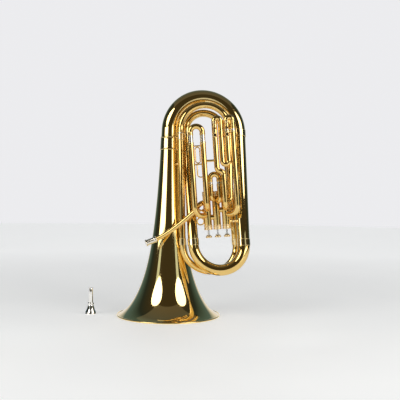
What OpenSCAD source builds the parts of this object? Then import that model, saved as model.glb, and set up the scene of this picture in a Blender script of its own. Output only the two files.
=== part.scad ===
// Three-quarter size tuba with three top-action piston valves, standing on its bell.
// Origin at the centre of the bell mouth, +Z up the bell axis, the valves face -Y.

/* [Bell] */
// Diameter over the rolled rim
bell_rim_d = 370; // [340:1:400]
// Diameter of the tail, where the bottom bow begins
bell_tail_d = 63; // [58:0.5:66]
// Height from the mouth to the turn of the bottom bow
bell_h = 660; // [620:1:700]
// Thickness of the sheet
bell_wall = 0.8; // [0.6:0.1:1.4]
// Diameter of the wired bead round the rim
rim_bead_d = 6; // [4:0.5:8]
// Exponent of the flare, larger opens later
flare_power = 1.05; // [0.9:0.01:1.2]
// Extra radius by which the lip turns out
lip_flare = 14; // [6:1:20]
// Height over which the lip turns out
lip_h = 12; // [8:1:18]
// Length of the ferrule at the tail
bell_ferrule_h = 46; // [40:1:60]
// Straight length of the bottom bow below its turn, down to the bell's joint
bow_skirt = 26; // [20:1:32]

/* [Bugle bows] */
// Thickness of the drawn tube
tube_wall = 0.8; // [0.6:0.1:1.2]
// Distance between the legs of the bottom bow
bottom_bow_span = 243; // [236:1:252]
// Diameter of the bottom bow at the outer branch
outer_top_d = 50; // [46:0.5:54]
// Diameter of the outer branch at the top bow
outer_low_d = 42; // [38:0.5:45]
// Distance between the legs of the top bow
top_bow_span = 175; // [172:1:182]
// Place of the inner leg of the top bow, right of the bell axis
top_bow_x = 88; // [86:0.5:91]
// Height of the joints of the top bow and of the small bow
top_bow_z = 258; // [250:1:280]
// Distance from the bell axis forward to the top bow
top_bow_front = 75; // [72:0.5:79]
// Diameter of the inner branch at the top bow
inner_low_d = 37; // [34:0.5:40]
// Diameter of the inner branch at the inner bow
inner_top_d = 27; // [25:0.5:29]
// Distance between the legs of the inner bow
inner_bow_span = 136; // [126:1:144]
// Place of the left leg of the inner bow, right of the bell axis
inner_bow_x = 56; // [52:0.5:60]
// Distance from the bell axis forward to the inner bow
inner_bow_front = 20; // [16:0.5:21]
// Height of the joints of the inner bow
inner_bow_z = 655; // [645:1:665]
// Diameter of the small branch
small_d = 25; // [23:0.5:26]
// Place of the low end of the small branch, right of the bell axis
small_bow_x = 238; // [232:0.5:242]
// Distance from the bell axis forward to the low end of the small branch
small_bow_front = 25; // [20:0.5:30]
// Length of a ferrule over a joint of the bugle
ferrule_h = 24; // [16:1:30]
// Thickness of a ferrule
ferrule_wall = 1.1; // [0.8:0.1:1.6]

/* [Main tuning slide] */
// Bore of the tuning slide
tuning_bore = 19.6; // [18:0.1:20]
// Distance between the legs of the tuning slide
tuning_span = 169; // [167:1:171]
// Place of the left leg at its low end, right of the bell axis
tuning_low_x = 50; // [49:0.5:51]
// Distance from the bell axis forward to the left leg at its low end
tuning_low_front = 60; // [59:0.5:63]
// Place of the left leg at the tuning bow, right of the bell axis
tuning_top_x = 39; // [37:0.5:39.5]
// Distance from the bell axis forward to the left leg at the tuning bow
tuning_top_front = 48; // [47.5:0.5:51]
// Height of the left joint of the tuning bow
tuning_z = 660; // [650:1:670]
// Length of inner tube that shows between the outer tube and the bow
tuning_show = 14; // [6:1:24]
// Length of inner tube inside each outer tube
tuning_grip = 85; // [70:1:110]

/* [Valves] */
// Bore through the valves and their slides
bore_d = 16.8; // [15:0.1:17]
// Outer diameter of a valve casing
casing_d = 27; // [26:0.1:27.6]
// Thickness of a valve casing
casing_wall = 1.2; // [0.9:0.1:1.5]
// Length of a valve casing
casing_h = 127; // [122:1:140]
// Distance between neighbouring valves
valve_pitch = 31.6; // [31:0.1:33]
// Lean of the valves away from the bell axis
valve_tilt = 4.4; // [4:0.1:5]
// Place of the middle valve, right of the bell axis
valve_x = 171; // [169:0.5:173]
// Distance from the bell axis forward to the valves
valve_front = 75; // [74:0.5:78]
// Height of the button end of the middle casing
valve_z = 315; // [310:0.5:320]
// Diameter of a valve cap
cap_d = 29.2; // [28.6:0.1:30]
// Length of a valve cap over the casing
cap_h = 13; // [9:0.5:16]
// Thickness of a cap's end
cap_end = 3; // [2:0.1:4]
// Length of a piston
piston_h = 84; // [80:0.5:86]
// Diameter of a valve stem
stem_d = 6; // [5:0.1:7]
// Travel of a piston
piston_travel = 16.8; // [15:0.1:18]
// Diameter of a finger button
button_d = 22; // [19:0.5:25]
// Thickness of a finger button
button_h = 8; // [6:0.5:10]
// Thickness of a button felt
felt_h = 2.5; // [1.5:0.1:4]
// Outer diameter of a valve spring
spring_d = 15; // [13:0.5:16]
// Diameter of the spring wire
spring_wire = 1.3; // [1:0.1:1.6]
// Turns of a valve spring
spring_turns = 8; // [6:1:10]

/* [Valve slides] */
// Thickness of a slide's tubes
slide_wall = 0.5; // [0.4:0.05:0.6]
// Distance between neighbouring slide legs
leg_pitch = 20.6; // [20.4:0.1:21]
// Distance from the valve axes forward to the long slides
slide_front = 38.5; // [38.3:0.1:40]
// Distance from the valve axes forward to the second slide
second_front = 18.8; // [18.7:0.1:19]
// Height of the first slide's bow joint over the button end
first_top = 334; // [330:1:350]
// Length of the first slide that shows below its bow joint
first_show = 34; // [24:1:36]
// Height of the second slide's bow joint
second_top = 172; // [170:1:184]
// Length of the second slide that shows below its bow joint
second_show = 18; // [14:1:20]
// Height of the third slide's bow joint
third_top = 368; // [364:1:380]
// Length of the third slide that shows below its bow joint
third_show = 34; // [33:1:38]
// Height of the third slide's low crook
third_crook = 229; // [228:1:240]
// Length of inner tube inside each long outer tube
slide_grip = 78; // [60:1:85]
// Length of inner tube inside the second slide's outer tubes
second_grip = 36; // [28:1:38]

/* [Leadpipe] */
// Diameter of the leadpipe at the mouthpiece receiver
leadpipe_small_d = 15; // [14:0.1:17]
// Diameter of the leadpipe at the first valve
leadpipe_large_d = 18; // [17.2:0.1:18.4]
// Distance from the bell axis forward to the leadpipe
leadpipe_front = 92; // [91:0.5:93]
// Place of the mouthpiece end, left of the bell axis
receiver_x = 76; // [70:0.5:84]
// Height of the mouthpiece end
receiver_z = 262; // [258:0.5:268]
// Rise of the leadpipe where the mouthpiece goes in
receiver_rise = 22; // [15:0.5:26]
// Outer diameter of the receiver
receiver_d = 20; // [19.5:0.1:22]
// Bore of the receiver
receiver_bore = 15.8; // [14.5:0.1:16.4]
// Length of the receiver
receiver_h = 40; // [34:1:48]
// Length of leadpipe inside the receiver
receiver_grip = 4; // [3:0.5:6]

/* [Mouthpiece] */
// Diameter of the rim
mouthpiece_rim_d = 43; // [40:0.5:46]
// Length of the mouthpiece
mouthpiece_h = 94; // [86:1:100]
// Diameter of the cup inside the rim
cup_d = 32; // [30:0.5:33]
// Diameter of the shank at its tip
shank_tip_d = 14.4; // [13:0.1:15]
// Place of the mouthpiece, left of the bell axis
mouthpiece_x = 278; // [250:1:320]

/* [Fits] */
// Radial clearance of a running fit
run_fit = 0.05; // [0.03:0.01:0.08]
// Gap between a fixed piece and its seat
seat_gap = 0.05; // [0.02:0.01:0.1]
// Gap between a ferrule and its tube
ferrule_gap = 0.4; // [0.35:0.05:0.6]
// Gap for solder between two tubes that meet end to end
solder_gap = 0.04; // [0.02:0.01:0.1]

/* [Hidden] */

$fn = 96;
brass = "goldenrod";
pale_brass = "khaki";
steel = "silver";

// Corners of a ring of a swept tube, and rings along a bow
sweep_sides = 28;
bow_rings = 24;
// A little extra by which a cut passes through a face
cut = 1;

function unit(v) = v / norm(v);
function mix(a, b, t) = a + (b - a) * t;

// Bell flare: a horn curve from the bead to the tail, with a lip that turns out at the mouth
rest_cut = 0.45;
bead_z = rim_bead_d / 2 - rest_cut;
horn_mouth_r = bell_rim_d / 2 - rim_bead_d / 2 - lip_flare;
horn_shift = (bell_h - bead_z) / (pow(2 * horn_mouth_r / bell_tail_d, 1 / flare_power) - 1);
function bell_r(z) = horn_mouth_r * pow(horn_shift / (z - bead_z + horn_shift), flare_power)
    + lip_flare * exp(-(z - bead_z) / lip_h);

// Joints of the bugle, from the bell to the tuning slide
bell_joint_z = bell_h - bow_skirt;
bell_tail = [0, 0, bell_h];
bottom_right = [bottom_bow_span, 0, bell_h];
top_right = [top_bow_x + top_bow_span, -top_bow_front, top_bow_z];
top_left = [top_bow_x, -top_bow_front, top_bow_z];
inner_left = [inner_bow_x, -inner_bow_front, inner_bow_z];
inner_right = [inner_bow_x + inner_bow_span, -inner_bow_front, inner_bow_z];
small_right = [small_bow_x, -small_bow_front, top_bow_z];
small_left = [tuning_low_x, -tuning_low_front, top_bow_z];
tuning_left = [tuning_top_x, -tuning_top_front, tuning_z];

// Directions of the straight branches, pointing up
up = [0, 0, 1];
outer_up = unit(bottom_right - top_right);
inner_up = unit(inner_left - top_left);
small_up = unit(inner_right - small_right);
tuning_up = unit(tuning_left - small_left);

// Tuning slide frame: turned so that its Z lies along the legs
tuning_turn_x = -asin(tuning_up[1]);
tuning_turn_y = atan2(tuning_up[0], tuning_up[2]);
tuning_across = [cos(tuning_turn_y), 0, -sin(tuning_turn_y)];
tuning_right = tuning_left + tuning_span * tuning_across;
tuning_inner_d = tuning_bore + 2 * slide_wall;
tuning_leg_bore = tuning_inner_d + 2 * run_fit;
tuning_leg_d = tuning_leg_bore + 2 * tube_wall;
tuning_seam = -tuning_show;

// Valve frame: Z along the valves from the button end, X along the row
function valve_place(i) = (i - 2) * valve_pitch;
function valve_point(x, y, z) = [valve_x + x * cos(valve_tilt) - z * sin(valve_tilt), -valve_front + y,
    valve_z + x * sin(valve_tilt) + z * cos(valve_tilt)];
casing_bore = casing_d - 2 * casing_wall;
slide_inner_d = bore_d + 2 * slide_wall;
slide_leg_bore = slide_inner_d + 2 * run_fit;
slide_leg_d = slide_leg_bore + 2 * slide_wall;
slide_bow_d = slide_leg_d;
socket_h = 10;
first_seam = first_top - first_show;
second_seam = second_top - second_show;
third_seam = third_top - third_show;
third_socket_h = third_show - 4;

// Heights of the ports along a casing
far_port_z = 48;
near_port_z = 70;
leadpipe_port_z = 92;
exit_port_z = 92;
second_port_z = [104, 96];
crossover_z = [40, 64];
far_bend = 30;
near_bend = 20;
second_bend = 10.5;
exit_bend = 14;

// Pistons and buttons
piston_z = 22;
spring_seat_z = casing_h - 50;
spring_pocket_d = spring_d + 2;
button_rest = 0.4;
button_top_z = -cap_end - piston_travel - button_rest - felt_h;

// Place of the second slide's legs either side of their valve
second_side = valve_pitch / 2;

// Swept tubes: rings of points about a path, joined by triangles
function ring(centre, along, side, r) =
    let (e1 = unit(side - (side * along) * along), e2 = cross(along, e1))
    [for (j = [0:sweep_sides - 1]) let (q = 360 * j / sweep_sides) centre + r * (cos(q) * e1 + sin(q) * e2)];

module swept_tube(path, along, side, radius, wall) {
    n = len(path);
    k = sweep_sides;
    outer = [for (i = [0:n - 1]) each ring(path[i], along[i], side, radius[i])];
    inner = [for (i = [0:n - 1]) each ring(path[i], along[i], side, radius[i] - wall)];
    skin = [for (i = [0:n - 2], j = [0:k - 1])
        let (a = i * k + j, b = i * k + (j + 1) % k, c = a + k, d = b + k)
        each [[a, c, d], [a, d, b]]];
    lining = [for (f = skin) [f[0] + n * k, f[2] + n * k, f[1] + n * k]];
    first_end = [for (j = [0:k - 1]) let (a = j, b = (j + 1) % k)
        each [[a, b, b + n * k], [a, b + n * k, a + n * k]]];
    last = (n - 1) * k;
    last_end = [for (f = first_end) [f[0] + last, f[2] + last, f[1] + last]];
    polyhedron(points = concat(outer, inner), faces = concat(skin, lining, first_end, last_end));
}

// Half turn from a to b that leaves a along ua and comes into b against ub
function bow_point(a, b, ua, ub, q) =
    let (half = (b - a) / 2, s = (1 - cos(q)) / 2)
    (a + b) / 2 - half * cos(q) + norm(half) * sin(q) * mix(ua, ub, s);
function bow_along(a, b, ua, ub, q) =
    q < 1 ? ua : q > 179 ? -ub : unit(bow_point(a, b, ua, ub, q + 0.5) - bow_point(a, b, ua, ub, q - 0.5));

// Tube round such a half turn, with a straight skirt before it if its skirt is given as [length, radius]
module conical_bow(a, b, ua, ub, d_a, d_b, skirt = []) {
    turn = [for (i = [0:bow_rings]) 180 * i / bow_rings];
    first = len(skirt) > 0 ? [skirt] : [];
    swept_tube(concat([for (k = first) a - k[0] * ua], [for (q = turn) bow_point(a, b, ua, ub, q)]),
        concat([for (k = first) ua], [for (q = turn) bow_along(a, b, ua, ub, q)]),
        unit(cross(b - a, ua + ub)),
        concat([for (k = first) k[1]], [for (q = turn) mix(d_a, d_b, q / 180) / 2]), tube_wall);
}

// Frame with its Z from p towards q
module towards(p, q) {
    v = q - p;
    translate(p) rotate([0, acos(v[2] / norm(v)), atan2(v[1], v[0])]) children();
}

// Straight tube, conical if its two diameters differ
module tube(h, d_low, d_high, wall) {
    slope = (d_high - d_low) / h;
    difference() {
        cylinder(h = h, d1 = d_low, d2 = d_high);
        translate([0, 0, -cut])
            cylinder(h = h + 2 * cut, d1 = d_low - 2 * wall - slope * cut,
                d2 = d_high - 2 * wall + slope * cut);
    }
}

// Branch of the bugle between two joints
module branch(p, q, d_p, d_q) {
    towards(p, q) tube(norm(q - p), d_p, d_q, tube_wall);
}

// Bent tube of constant bore, from +X round towards +Y
module bend(r, d, bore, angle) {
    difference() {
        rotate_extrude(angle = angle) translate([r, 0]) circle(d = d);
        rotate([0, 0, -1]) rotate_extrude(angle = angle + 2) translate([r, 0]) circle(d = bore);
    }
}

// Half turn over two upright legs, from the left leg's top at the origin to the right
module bow(span, d, bore) {
    translate([span / 2, 0, 0]) rotate([90, 0, 0]) bend(span / 2, d, bore, 180);
}

// Elbow from an upright leg at the origin down to a level run along +X
module elbow(r, d, bore) {
    translate([r, 0, r]) rotate([90, 0, 0]) rotate([0, 0, 180]) bend(r, d, bore, 90);
}

// Ring with a bead at each end, round a tube of diameter d
module sleeve(h, d, gap, wall) {
    bead = wall * 1.6;
    difference() {
        union() {
            cylinder(h = h, d = d + 2 * gap + 2 * wall);
            for (z = [0, h - 2 * bead])
                translate([0, 0, z]) rotate_extrude() translate([d / 2 + gap + wall - bead / 2, bead])
                    circle(r = bead, $fn = 32);
        }
        translate([0, 0, -cut]) cylinder(h = h + 2 * cut, d = d + 2 * gap);
    }
}

module in_valve_frame() {
    translate([valve_x, -valve_front, valve_z]) rotate([0, -valve_tilt, 0]) children();
}
module at_valve(i) {
    in_valve_frame() translate([valve_place(i), 0, 0]) children();
}
module in_tuning_frame() {
    translate(tuning_left) rotate([tuning_turn_x, tuning_turn_y, 0]) children();
}
// Solid that a tube's end is trimmed by where it meets a casing
module casing_seat(i) {
    at_valve(i) translate([0, 0, -cut]) cylinder(h = casing_h + 2 * cut, d = casing_d + 2 * seat_gap);
}

// Bell

module bell() {
    steps = 44;
    // Closer together near the mouth, where the flare is strongest
    heights = [for (i = [0:steps]) bead_z + (bell_joint_z - bead_z) * pow(i / steps, 2)];
    outside = [for (z = heights) [bell_r(z), z]];
    inside = [for (i = [steps:-1:0]) [bell_r(heights[i]) - bell_wall, heights[i]]];
    color(brass) difference() {
        union() {
            rotate_extrude() polygon(concat(outside, inside));
            rotate_extrude() translate([bell_rim_d / 2 - rim_bead_d / 2, bead_z])
                circle(d = rim_bead_d, $fn = 32);
        }
        translate([0, 0, -rim_bead_d]) cylinder(h = rim_bead_d, d = bell_rim_d + 2 * cut);
    }
}

ferrule_overlap = 3;
module bell_ferrule() {
    low = bell_joint_z + ferrule_overlap - bell_ferrule_h;
    bead = ferrule_wall * 1.6;
    steps = 6;
    heights = [for (i = [0:steps]) mix(low, bell_joint_z + ferrule_overlap, i / steps)];
    function seat_r(z) = bell_r(z) + ferrule_gap;
    outside = [for (z = heights) [seat_r(z) + ferrule_wall, z]];
    inside = [for (i = [steps:-1:0]) [seat_r(heights[i]), heights[i]]];
    color(pale_brass) difference() {
        union() {
            rotate_extrude() polygon(concat(outside, inside));
            for (z = [low + bead, low + bell_ferrule_h - bead])
                rotate_extrude() translate([seat_r(z) + ferrule_wall, z]) circle(r = bead, $fn = 32);
        }
        rotate_extrude() polygon(concat([[0, low - cut], [seat_r(low), low - cut]],
            [for (z = heights) [seat_r(z), z]], [[0, bell_joint_z + ferrule_overlap]]));
    }
}

// Bugle

module bottom_bow() {
    color(brass) conical_bow(bell_tail, bottom_right, up, outer_up, bell_tail_d, outer_top_d,
        [bow_skirt - solder_gap, bell_r(bell_joint_z)]);
}
module outer_branch() {
    color(brass) branch(top_right, bottom_right, outer_low_d, outer_top_d);
}
module top_bow() {
    color(brass) conical_bow(top_right, top_left, -outer_up, -inner_up, outer_low_d, inner_low_d);
}
module inner_branch() {
    color(brass) branch(top_left, inner_left, inner_low_d, inner_top_d);
}
module inner_bow() {
    color(brass) conical_bow(inner_left, inner_right, inner_up, small_up, inner_top_d, small_d);
}
module small_branch() {
    color(brass) branch(small_right, inner_right, small_d, small_d);
}
module small_bow() {
    color(brass) conical_bow(small_right, small_left, -small_up, -tuning_up, small_d, tuning_leg_d);
}

module bow_ferrules() {
    joints = [[bottom_right, top_right, outer_top_d], [top_right, bottom_right, outer_low_d],
        [top_left, inner_left, inner_low_d], [inner_left, top_left, inner_top_d],
        [inner_right, small_right, small_d], [small_right, inner_right, small_d],
        [small_left, tuning_left, tuning_leg_d]];
    color(pale_brass) for (j = joints)
        towards(j[0], j[1]) translate([0, 0, -ferrule_overlap])
            sleeve(ferrule_h, j[2], ferrule_gap, ferrule_wall);
}

// Main tuning slide

module tuning_leg_left() {
    leg = norm(tuning_left - small_left);
    color(brass) in_tuning_frame() translate([0, 0, -leg])
        tube(leg + tuning_seam, tuning_leg_d, tuning_leg_d, tube_wall);
}

// Where the third valve's axis lies in the tuning frame of the right leg, at the height of the exit port
exit_target = valve_point(valve_place(3), 0, exit_port_z) - tuning_right;
exit_x = exit_target * tuning_across;
exit_z = exit_target * tuning_up;
exit_y = exit_target * cross(tuning_up, tuning_across);
exit_reach = norm([exit_x, exit_y]);
module tuning_leg_right() {
    color(brass) difference() {
        in_tuning_frame() translate([tuning_span, 0, 0]) {
            low = exit_z + exit_bend + solder_gap;
            translate([0, 0, low]) tube(tuning_seam - low, tuning_leg_d, tuning_leg_d, tube_wall);
            translate([0, 0, exit_z]) rotate([0, 0, atan2(exit_y, exit_x)]) {
                elbow(exit_bend, tuning_leg_d, tuning_leg_bore);
                translate([exit_bend + solder_gap, 0, 0]) rotate([0, 90, 0])
                    tube(exit_reach - exit_bend - casing_d / 4, tuning_leg_d, tuning_leg_d, tube_wall);
            }
        }
        casing_seat(3);
    }
}

tuning_bow_bore = tuning_inner_d + 2 * seat_gap;
tuning_bow_d = tuning_bow_bore + 2 * tube_wall;
module tuning_bow() {
    color(brass) in_tuning_frame() {
        bow(tuning_span, tuning_bow_d, tuning_bow_bore);
        for (x = [0, tuning_span]) translate([x, 0, -socket_h])
            tube(socket_h - solder_gap, tuning_bow_d, tuning_bow_d, tube_wall);
    }
}
module tuning_inner_tubes() {
    color(pale_brass) in_tuning_frame() for (x = [0, tuning_span])
        translate([x, 0, tuning_seam - tuning_grip])
            tube(tuning_grip + tuning_show, tuning_inner_d, tuning_inner_d, slide_wall);
}

// Valves

// Ports of each valve: height along the casing and direction from its axis
function ports(i) = concat(
    i == 1 ? [[leadpipe_port_z, 180]] : [],
    i == 3 ? [[exit_port_z, exit_port_angle]] : [],
    i != 2 ? [[far_port_z, far_angle(i)], [near_port_z, -90]] : [],
    i == 2 ? [[second_port_z[0], -90 - second_angle], [second_port_z[1], -90 + second_angle]] : [],
    i < 3 ? [[crossover_z[i - 1], 0]] : [],
    i > 1 ? [[crossover_z[i - 2], 180]] : []);
function far_angle(i) = atan2(-slide_front, (i - 2) * 2 * leg_pitch);
second_angle = atan2(second_side, second_front);
exit_run = tuning_right + exit_z * tuning_up - valve_point(valve_place(3), 0, exit_port_z);
exit_port_angle = atan2(exit_run[1], exit_run[0] / cos(valve_tilt));

module valve_casing(i) {
    color(brass) at_valve(i) difference() {
        cylinder(h = casing_h, d = casing_d);
        translate([0, 0, -cut]) cylinder(h = casing_h + 2 * cut, d = casing_bore);
        for (p = ports(i))
            translate([0, 0, p[0]]) rotate([0, 90, p[1]]) cylinder(h = casing_d, d = bore_d);
    }
}

// Screwed cap with a coined edge over one end of a casing, its end plate below z = 0
module cap(hole) {
    notches = 24;
    notch_d = 2;
    band_h = 3;
    band_inset = 1;
    band_step = 0.5;
    edge_z = cap_h - band_h - band_inset;
    difference() {
        union() {
            translate([0, 0, -cap_end]) cylinder(h = cap_h + cap_end, d = cap_d - 2 * band_step);
            for (z = [-cap_end + band_inset, edge_z])
                translate([0, 0, z]) cylinder(h = band_h, d = cap_d);
        }
        cylinder(h = cap_h + cut, d = casing_d + 2 * seat_gap);
        translate([0, 0, -cap_end - cut]) cylinder(h = cap_end + 2 * cut, d = hole);
        for (k = [0:notches - 1]) rotate([0, 0, 360 * k / notches])
            translate([cap_d / 2 + notch_d / 4, 0, edge_z - cut])
                cylinder(h = band_h + 2 * cut, d = notch_d, $fn = 16);
    }
}
module top_cap(i) {
    stem_play = 0.5;
    color(pale_brass) at_valve(i) cap(stem_d + 2 * stem_play);
}
vent_d = 4;
module bottom_caps() {
    color(pale_brass) for (i = [1:3]) at_valve(i)
        translate([0, 0, casing_h]) mirror([0, 0, 1]) cap(vent_d);
}

module valve_crossovers() {
    color(brass) for (i = [1, 2]) difference() {
        at_valve(i) translate([0, 0, crossover_z[i - 1]]) rotate([0, 90, 0])
            tube(valve_pitch, bore_d + 2 * tube_wall, bore_d + 2 * tube_wall, tube_wall);
        casing_seat(i);
        casing_seat(i + 1);
    }
}

// Drilled shell with an end plate under the stem and a pocket for the spring above
module piston(i) {
    passage = bore_d / 2;
    skin = 1.2;
    plate = 3;
    color(steel) at_valve(i) difference() {
        translate([0, 0, piston_z]) cylinder(h = piston_h, d = casing_bore - 2 * run_fit);
        translate([0, 0, spring_seat_z]) cylinder(h = casing_h, d = spring_pocket_d);
        translate([0, 0, piston_z + plate])
            cylinder(h = spring_seat_z - piston_z - 2 * plate, d = casing_bore - 2 * run_fit - 2 * skin);
        for (p = [[crossover_z[0], 0], [crossover_z[1], 90]])
            translate([0, 0, p[0]]) rotate([0, 90, p[1]])
                translate([0, 0, -casing_d]) cylinder(h = 2 * casing_d, d = passage);
    }
}
module stem(i) {
    color(steel) at_valve(i) translate([0, 0, button_top_z])
        cylinder(h = piston_z - button_top_z, d = stem_d);
}
// Round button with rolled edges and a shallow dish for the fingertip on its far side
module finger_button(i) {
    edge = button_h / 4;
    dish_r = 60;
    dish_depth = 0.8;
    half = button_d / 2 - edge;
    color(brass) at_valve(i) translate([0, 0, button_top_z]) difference() {
        rotate_extrude() polygon(concat([[0, 0], [stem_d, 0], [half, -button_h + 2 * edge]],
            [for (q = [75:-15:-75]) [half + edge * cos(q), -button_h + edge + edge * sin(q)]],
            [[half, -button_h], [0, -button_h]]));
        translate([0, 0, -button_h - dish_r + dish_depth]) sphere(r = dish_r);
    }
}
module button_felt(i) {
    felt_inset = 3;
    color("ivory") at_valve(i) translate([0, 0, button_top_z]) difference() {
        cylinder(h = felt_h, d = button_d - 2 * felt_inset);
        translate([0, 0, -cut]) cylinder(h = felt_h + 2 * cut, d = stem_d + 2 * seat_gap);
    }
}

// Coil spring between the piston's pocket and the bottom cap
spring_sides = 6;
spring_steps = 8;
spring_slack = 0.1;
module valve_spring(i) {
    rise = casing_h - spring_seat_z - spring_wire - 2 * spring_slack;
    n = spring_turns * spring_steps;
    r = (spring_d - spring_wire) / 2;
    function coil(k) = let (q = 360 * k / spring_steps)
        [r * cos(q), r * sin(q), spring_seat_z + spring_wire / 2 + spring_slack + rise * k / n];
    points = [for (k = [0:n], j = [0:spring_sides - 1])
        let (q = 360 * k / spring_steps, w = 360 * j / spring_sides)
        coil(k) + spring_wire / 2 * (cos(w) * [cos(q), sin(q), 0] + sin(w) * up)];
    skin = [for (k = [0:n - 1], j = [0:spring_sides - 1])
        let (a = k * spring_sides + j, b = k * spring_sides + (j + 1) % spring_sides)
        each [[a, b, b + spring_sides], [a, b + spring_sides, a + spring_sides]]];
    start_face = [for (j = [spring_sides - 1:-1:0]) j];
    end_face = [for (j = [0:spring_sides - 1]) n * spring_sides + j];
    color(steel) at_valve(i) polyhedron(points = points, faces = concat(skin, [start_face, end_face]));
    turn_gap = rise / spring_turns - spring_wire;
    echo(str("valve spring least gap between turns ", turn_gap, " mm"));
}

// Valve slides

// Outer leg standing over an elbow that runs into a casing along a given direction
module leg_into_valve(x, y, port_z, r, top) {
    run = norm([x, y]) - r - casing_d / 4;
    low = port_z + r + solder_gap;
    translate([x, y, low]) tube(top - low, slide_leg_d, slide_leg_d, slide_wall);
    translate([x, y, port_z]) rotate([0, 0, atan2(-y, -x)]) {
        elbow(r, slide_leg_d, slide_leg_bore);
        translate([r + solder_gap, 0, 0]) rotate([0, 90, 0])
            tube(run, slide_leg_d, slide_leg_d, slide_wall);
    }
}

module slide_1_outer_tubes() {
    color(brass) difference() {
        at_valve(1) {
            leg_into_valve(-2 * leg_pitch, -slide_front, far_port_z, far_bend, first_seam);
            leg_into_valve(0, -slide_front, near_port_z, near_bend, first_seam);
        }
        casing_seat(1);
    }
}

module slide_2_outer_tubes() {
    color(brass) difference() {
        at_valve(2) for (k = [0, 1])
            leg_into_valve((2 * k - 1) * second_side, -second_front, second_port_z[k], second_bend,
                second_seam);
        casing_seat(2);
    }
}

// The third slide folds twice: up its first leg past a sidestep, over a crook, down, round a low
// crook and up again to the tuning bow, whose far leg comes back down to the valve
sidestep_r = 14;
sidestep_angle = acos(1 - leg_pitch / (2 * sidestep_r));
sidestep_z = 183;
sidestep_top = sidestep_z + 2 * sidestep_r * sin(sidestep_angle) + 3 * solder_gap;
module slide_3_outer_tubes() {
    color(brass) difference() {
        at_valve(3) {
            leg_into_valve(2 * leg_pitch, -slide_front, far_port_z, far_bend, third_seam);
            leg_into_valve(0, -slide_front, near_port_z, near_bend, sidestep_z);
            translate([0, -slide_front, 0]) {
                translate([-sidestep_r, 0, sidestep_z + solder_gap]) rotate([90, 0, 0])
                    bend(sidestep_r, slide_leg_d, slide_leg_bore, sidestep_angle);
                translate([-leg_pitch + sidestep_r, 0, sidestep_top - solder_gap]) rotate([90, 0, 0])
                    rotate([0, 0, 180]) bend(sidestep_r, slide_leg_d, slide_leg_bore, sidestep_angle);
                translate([-leg_pitch, 0, sidestep_top])
                    tube(third_top - sidestep_top, slide_leg_d, slide_leg_d, slide_wall);
                translate([-leg_pitch, 0, third_top + solder_gap])
                    bow(leg_pitch, slide_leg_d, slide_leg_bore);
                translate([0, 0, third_crook])
                    tube(third_top - third_crook, slide_leg_d, slide_leg_d, slide_wall);
                translate([0, 0, third_crook - solder_gap]) mirror([0, 0, 1])
                    bow(leg_pitch, slide_leg_d, slide_leg_bore);
                translate([leg_pitch, 0, third_crook])
                    tube(third_seam - third_crook, slide_leg_d, slide_leg_d, slide_wall);
            }
        }
        casing_seat(3);
    }
}

// Movable part of a slide, left leg at the origin of its own frame
slide_socket_bore = slide_inner_d + 2 * seat_gap;
module slide_bow(span, socket) {
    bow(span, slide_bow_d, slide_socket_bore);
    for (x = [0, span]) translate([x, 0, -socket])
        tube(socket - solder_gap, slide_bow_d, slide_bow_d, (slide_bow_d - slide_socket_bore) / 2);
}
module slide_inner_tubes(span, seam, top, grip) {
    for (x = [0, span]) translate([x, 0, seam - grip - top])
        tube(grip + top - seam, slide_inner_d, slide_inner_d, slide_wall);
}
module slide_1_frame() at_valve(1) translate([-2 * leg_pitch, -slide_front, first_top]) children();
module slide_2_frame() at_valve(2) translate([-second_side, -second_front, second_top]) children();
module slide_3_frame() at_valve(3) translate([leg_pitch, -slide_front, third_top]) children();

module slide_1_bow() color(brass) slide_1_frame() slide_bow(2 * leg_pitch, socket_h);
module slide_2_bow() color(brass) slide_2_frame() slide_bow(2 * second_side, socket_h);
module slide_3_bow() color(brass) slide_3_frame() slide_bow(leg_pitch, third_socket_h);
module slide_1_inner_tubes() color(pale_brass) slide_1_frame()
    slide_inner_tubes(2 * leg_pitch, first_seam, first_top, slide_grip);
module slide_2_inner_tubes() color(pale_brass) slide_2_frame()
    slide_inner_tubes(2 * second_side, second_seam, second_top, second_grip);
module slide_3_inner_tubes() color(pale_brass) slide_3_frame()
    slide_inner_tubes(leg_pitch, third_seam, third_top, slide_grip);

// Thin rings that stiffen the mouths of the outer tubes
slide_ring_h = 8;
slide_ring_wall = 0.7;
module slide_ring() {
    translate([0, 0, -slide_ring_h]) difference() {
        cylinder(h = slide_ring_h, d = slide_leg_d + 2 * seat_gap + 2 * slide_ring_wall);
        translate([0, 0, -cut]) cylinder(h = slide_ring_h + 2 * cut, d = slide_leg_d + 2 * seat_gap);
    }
}
module slide_ferrules() {
    color(pale_brass) {
        for (x = [-2 * leg_pitch, 0]) at_valve(1) translate([x, -slide_front, first_seam]) slide_ring();
        for (x = [-1, 1]) at_valve(2) translate([x * second_side, -second_front, second_seam]) slide_ring();
        for (x = [1, 2]) at_valve(3) translate([x * leg_pitch, -slide_front, third_seam]) slide_ring();
        for (x = [0, tuning_span]) in_tuning_frame() translate([x, 0, tuning_seam - ferrule_h])
            sleeve(ferrule_h, tuning_leg_d, seat_gap, ferrule_wall);
    }
}

// Leadpipe: two curves end to end, from the receiver past the bell and into the first valve
function curve(p, t) = let (u = 1 - t)
    u * u * u * p[0] + 3 * u * u * t * p[1] + 3 * u * t * t * p[2] + t * t * t * p[3];
function curve_along(p, t) = let (u = 1 - t)
    unit(u * u * (p[1] - p[0]) + 2 * u * t * (p[2] - p[1]) + t * t * (p[3] - p[2]));
receiver_point = [-receiver_x, -leadpipe_front, receiver_z];
receiver_along = [cos(receiver_rise), 0, sin(receiver_rise)];
pipe_start = receiver_point + receiver_along * (receiver_h - receiver_grip);
pipe_end = valve_point(valve_place(1) - casing_d / 4, 0, leadpipe_port_z);
pipe_end_along = [cos(valve_tilt), 0, sin(valve_tilt)];
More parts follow.
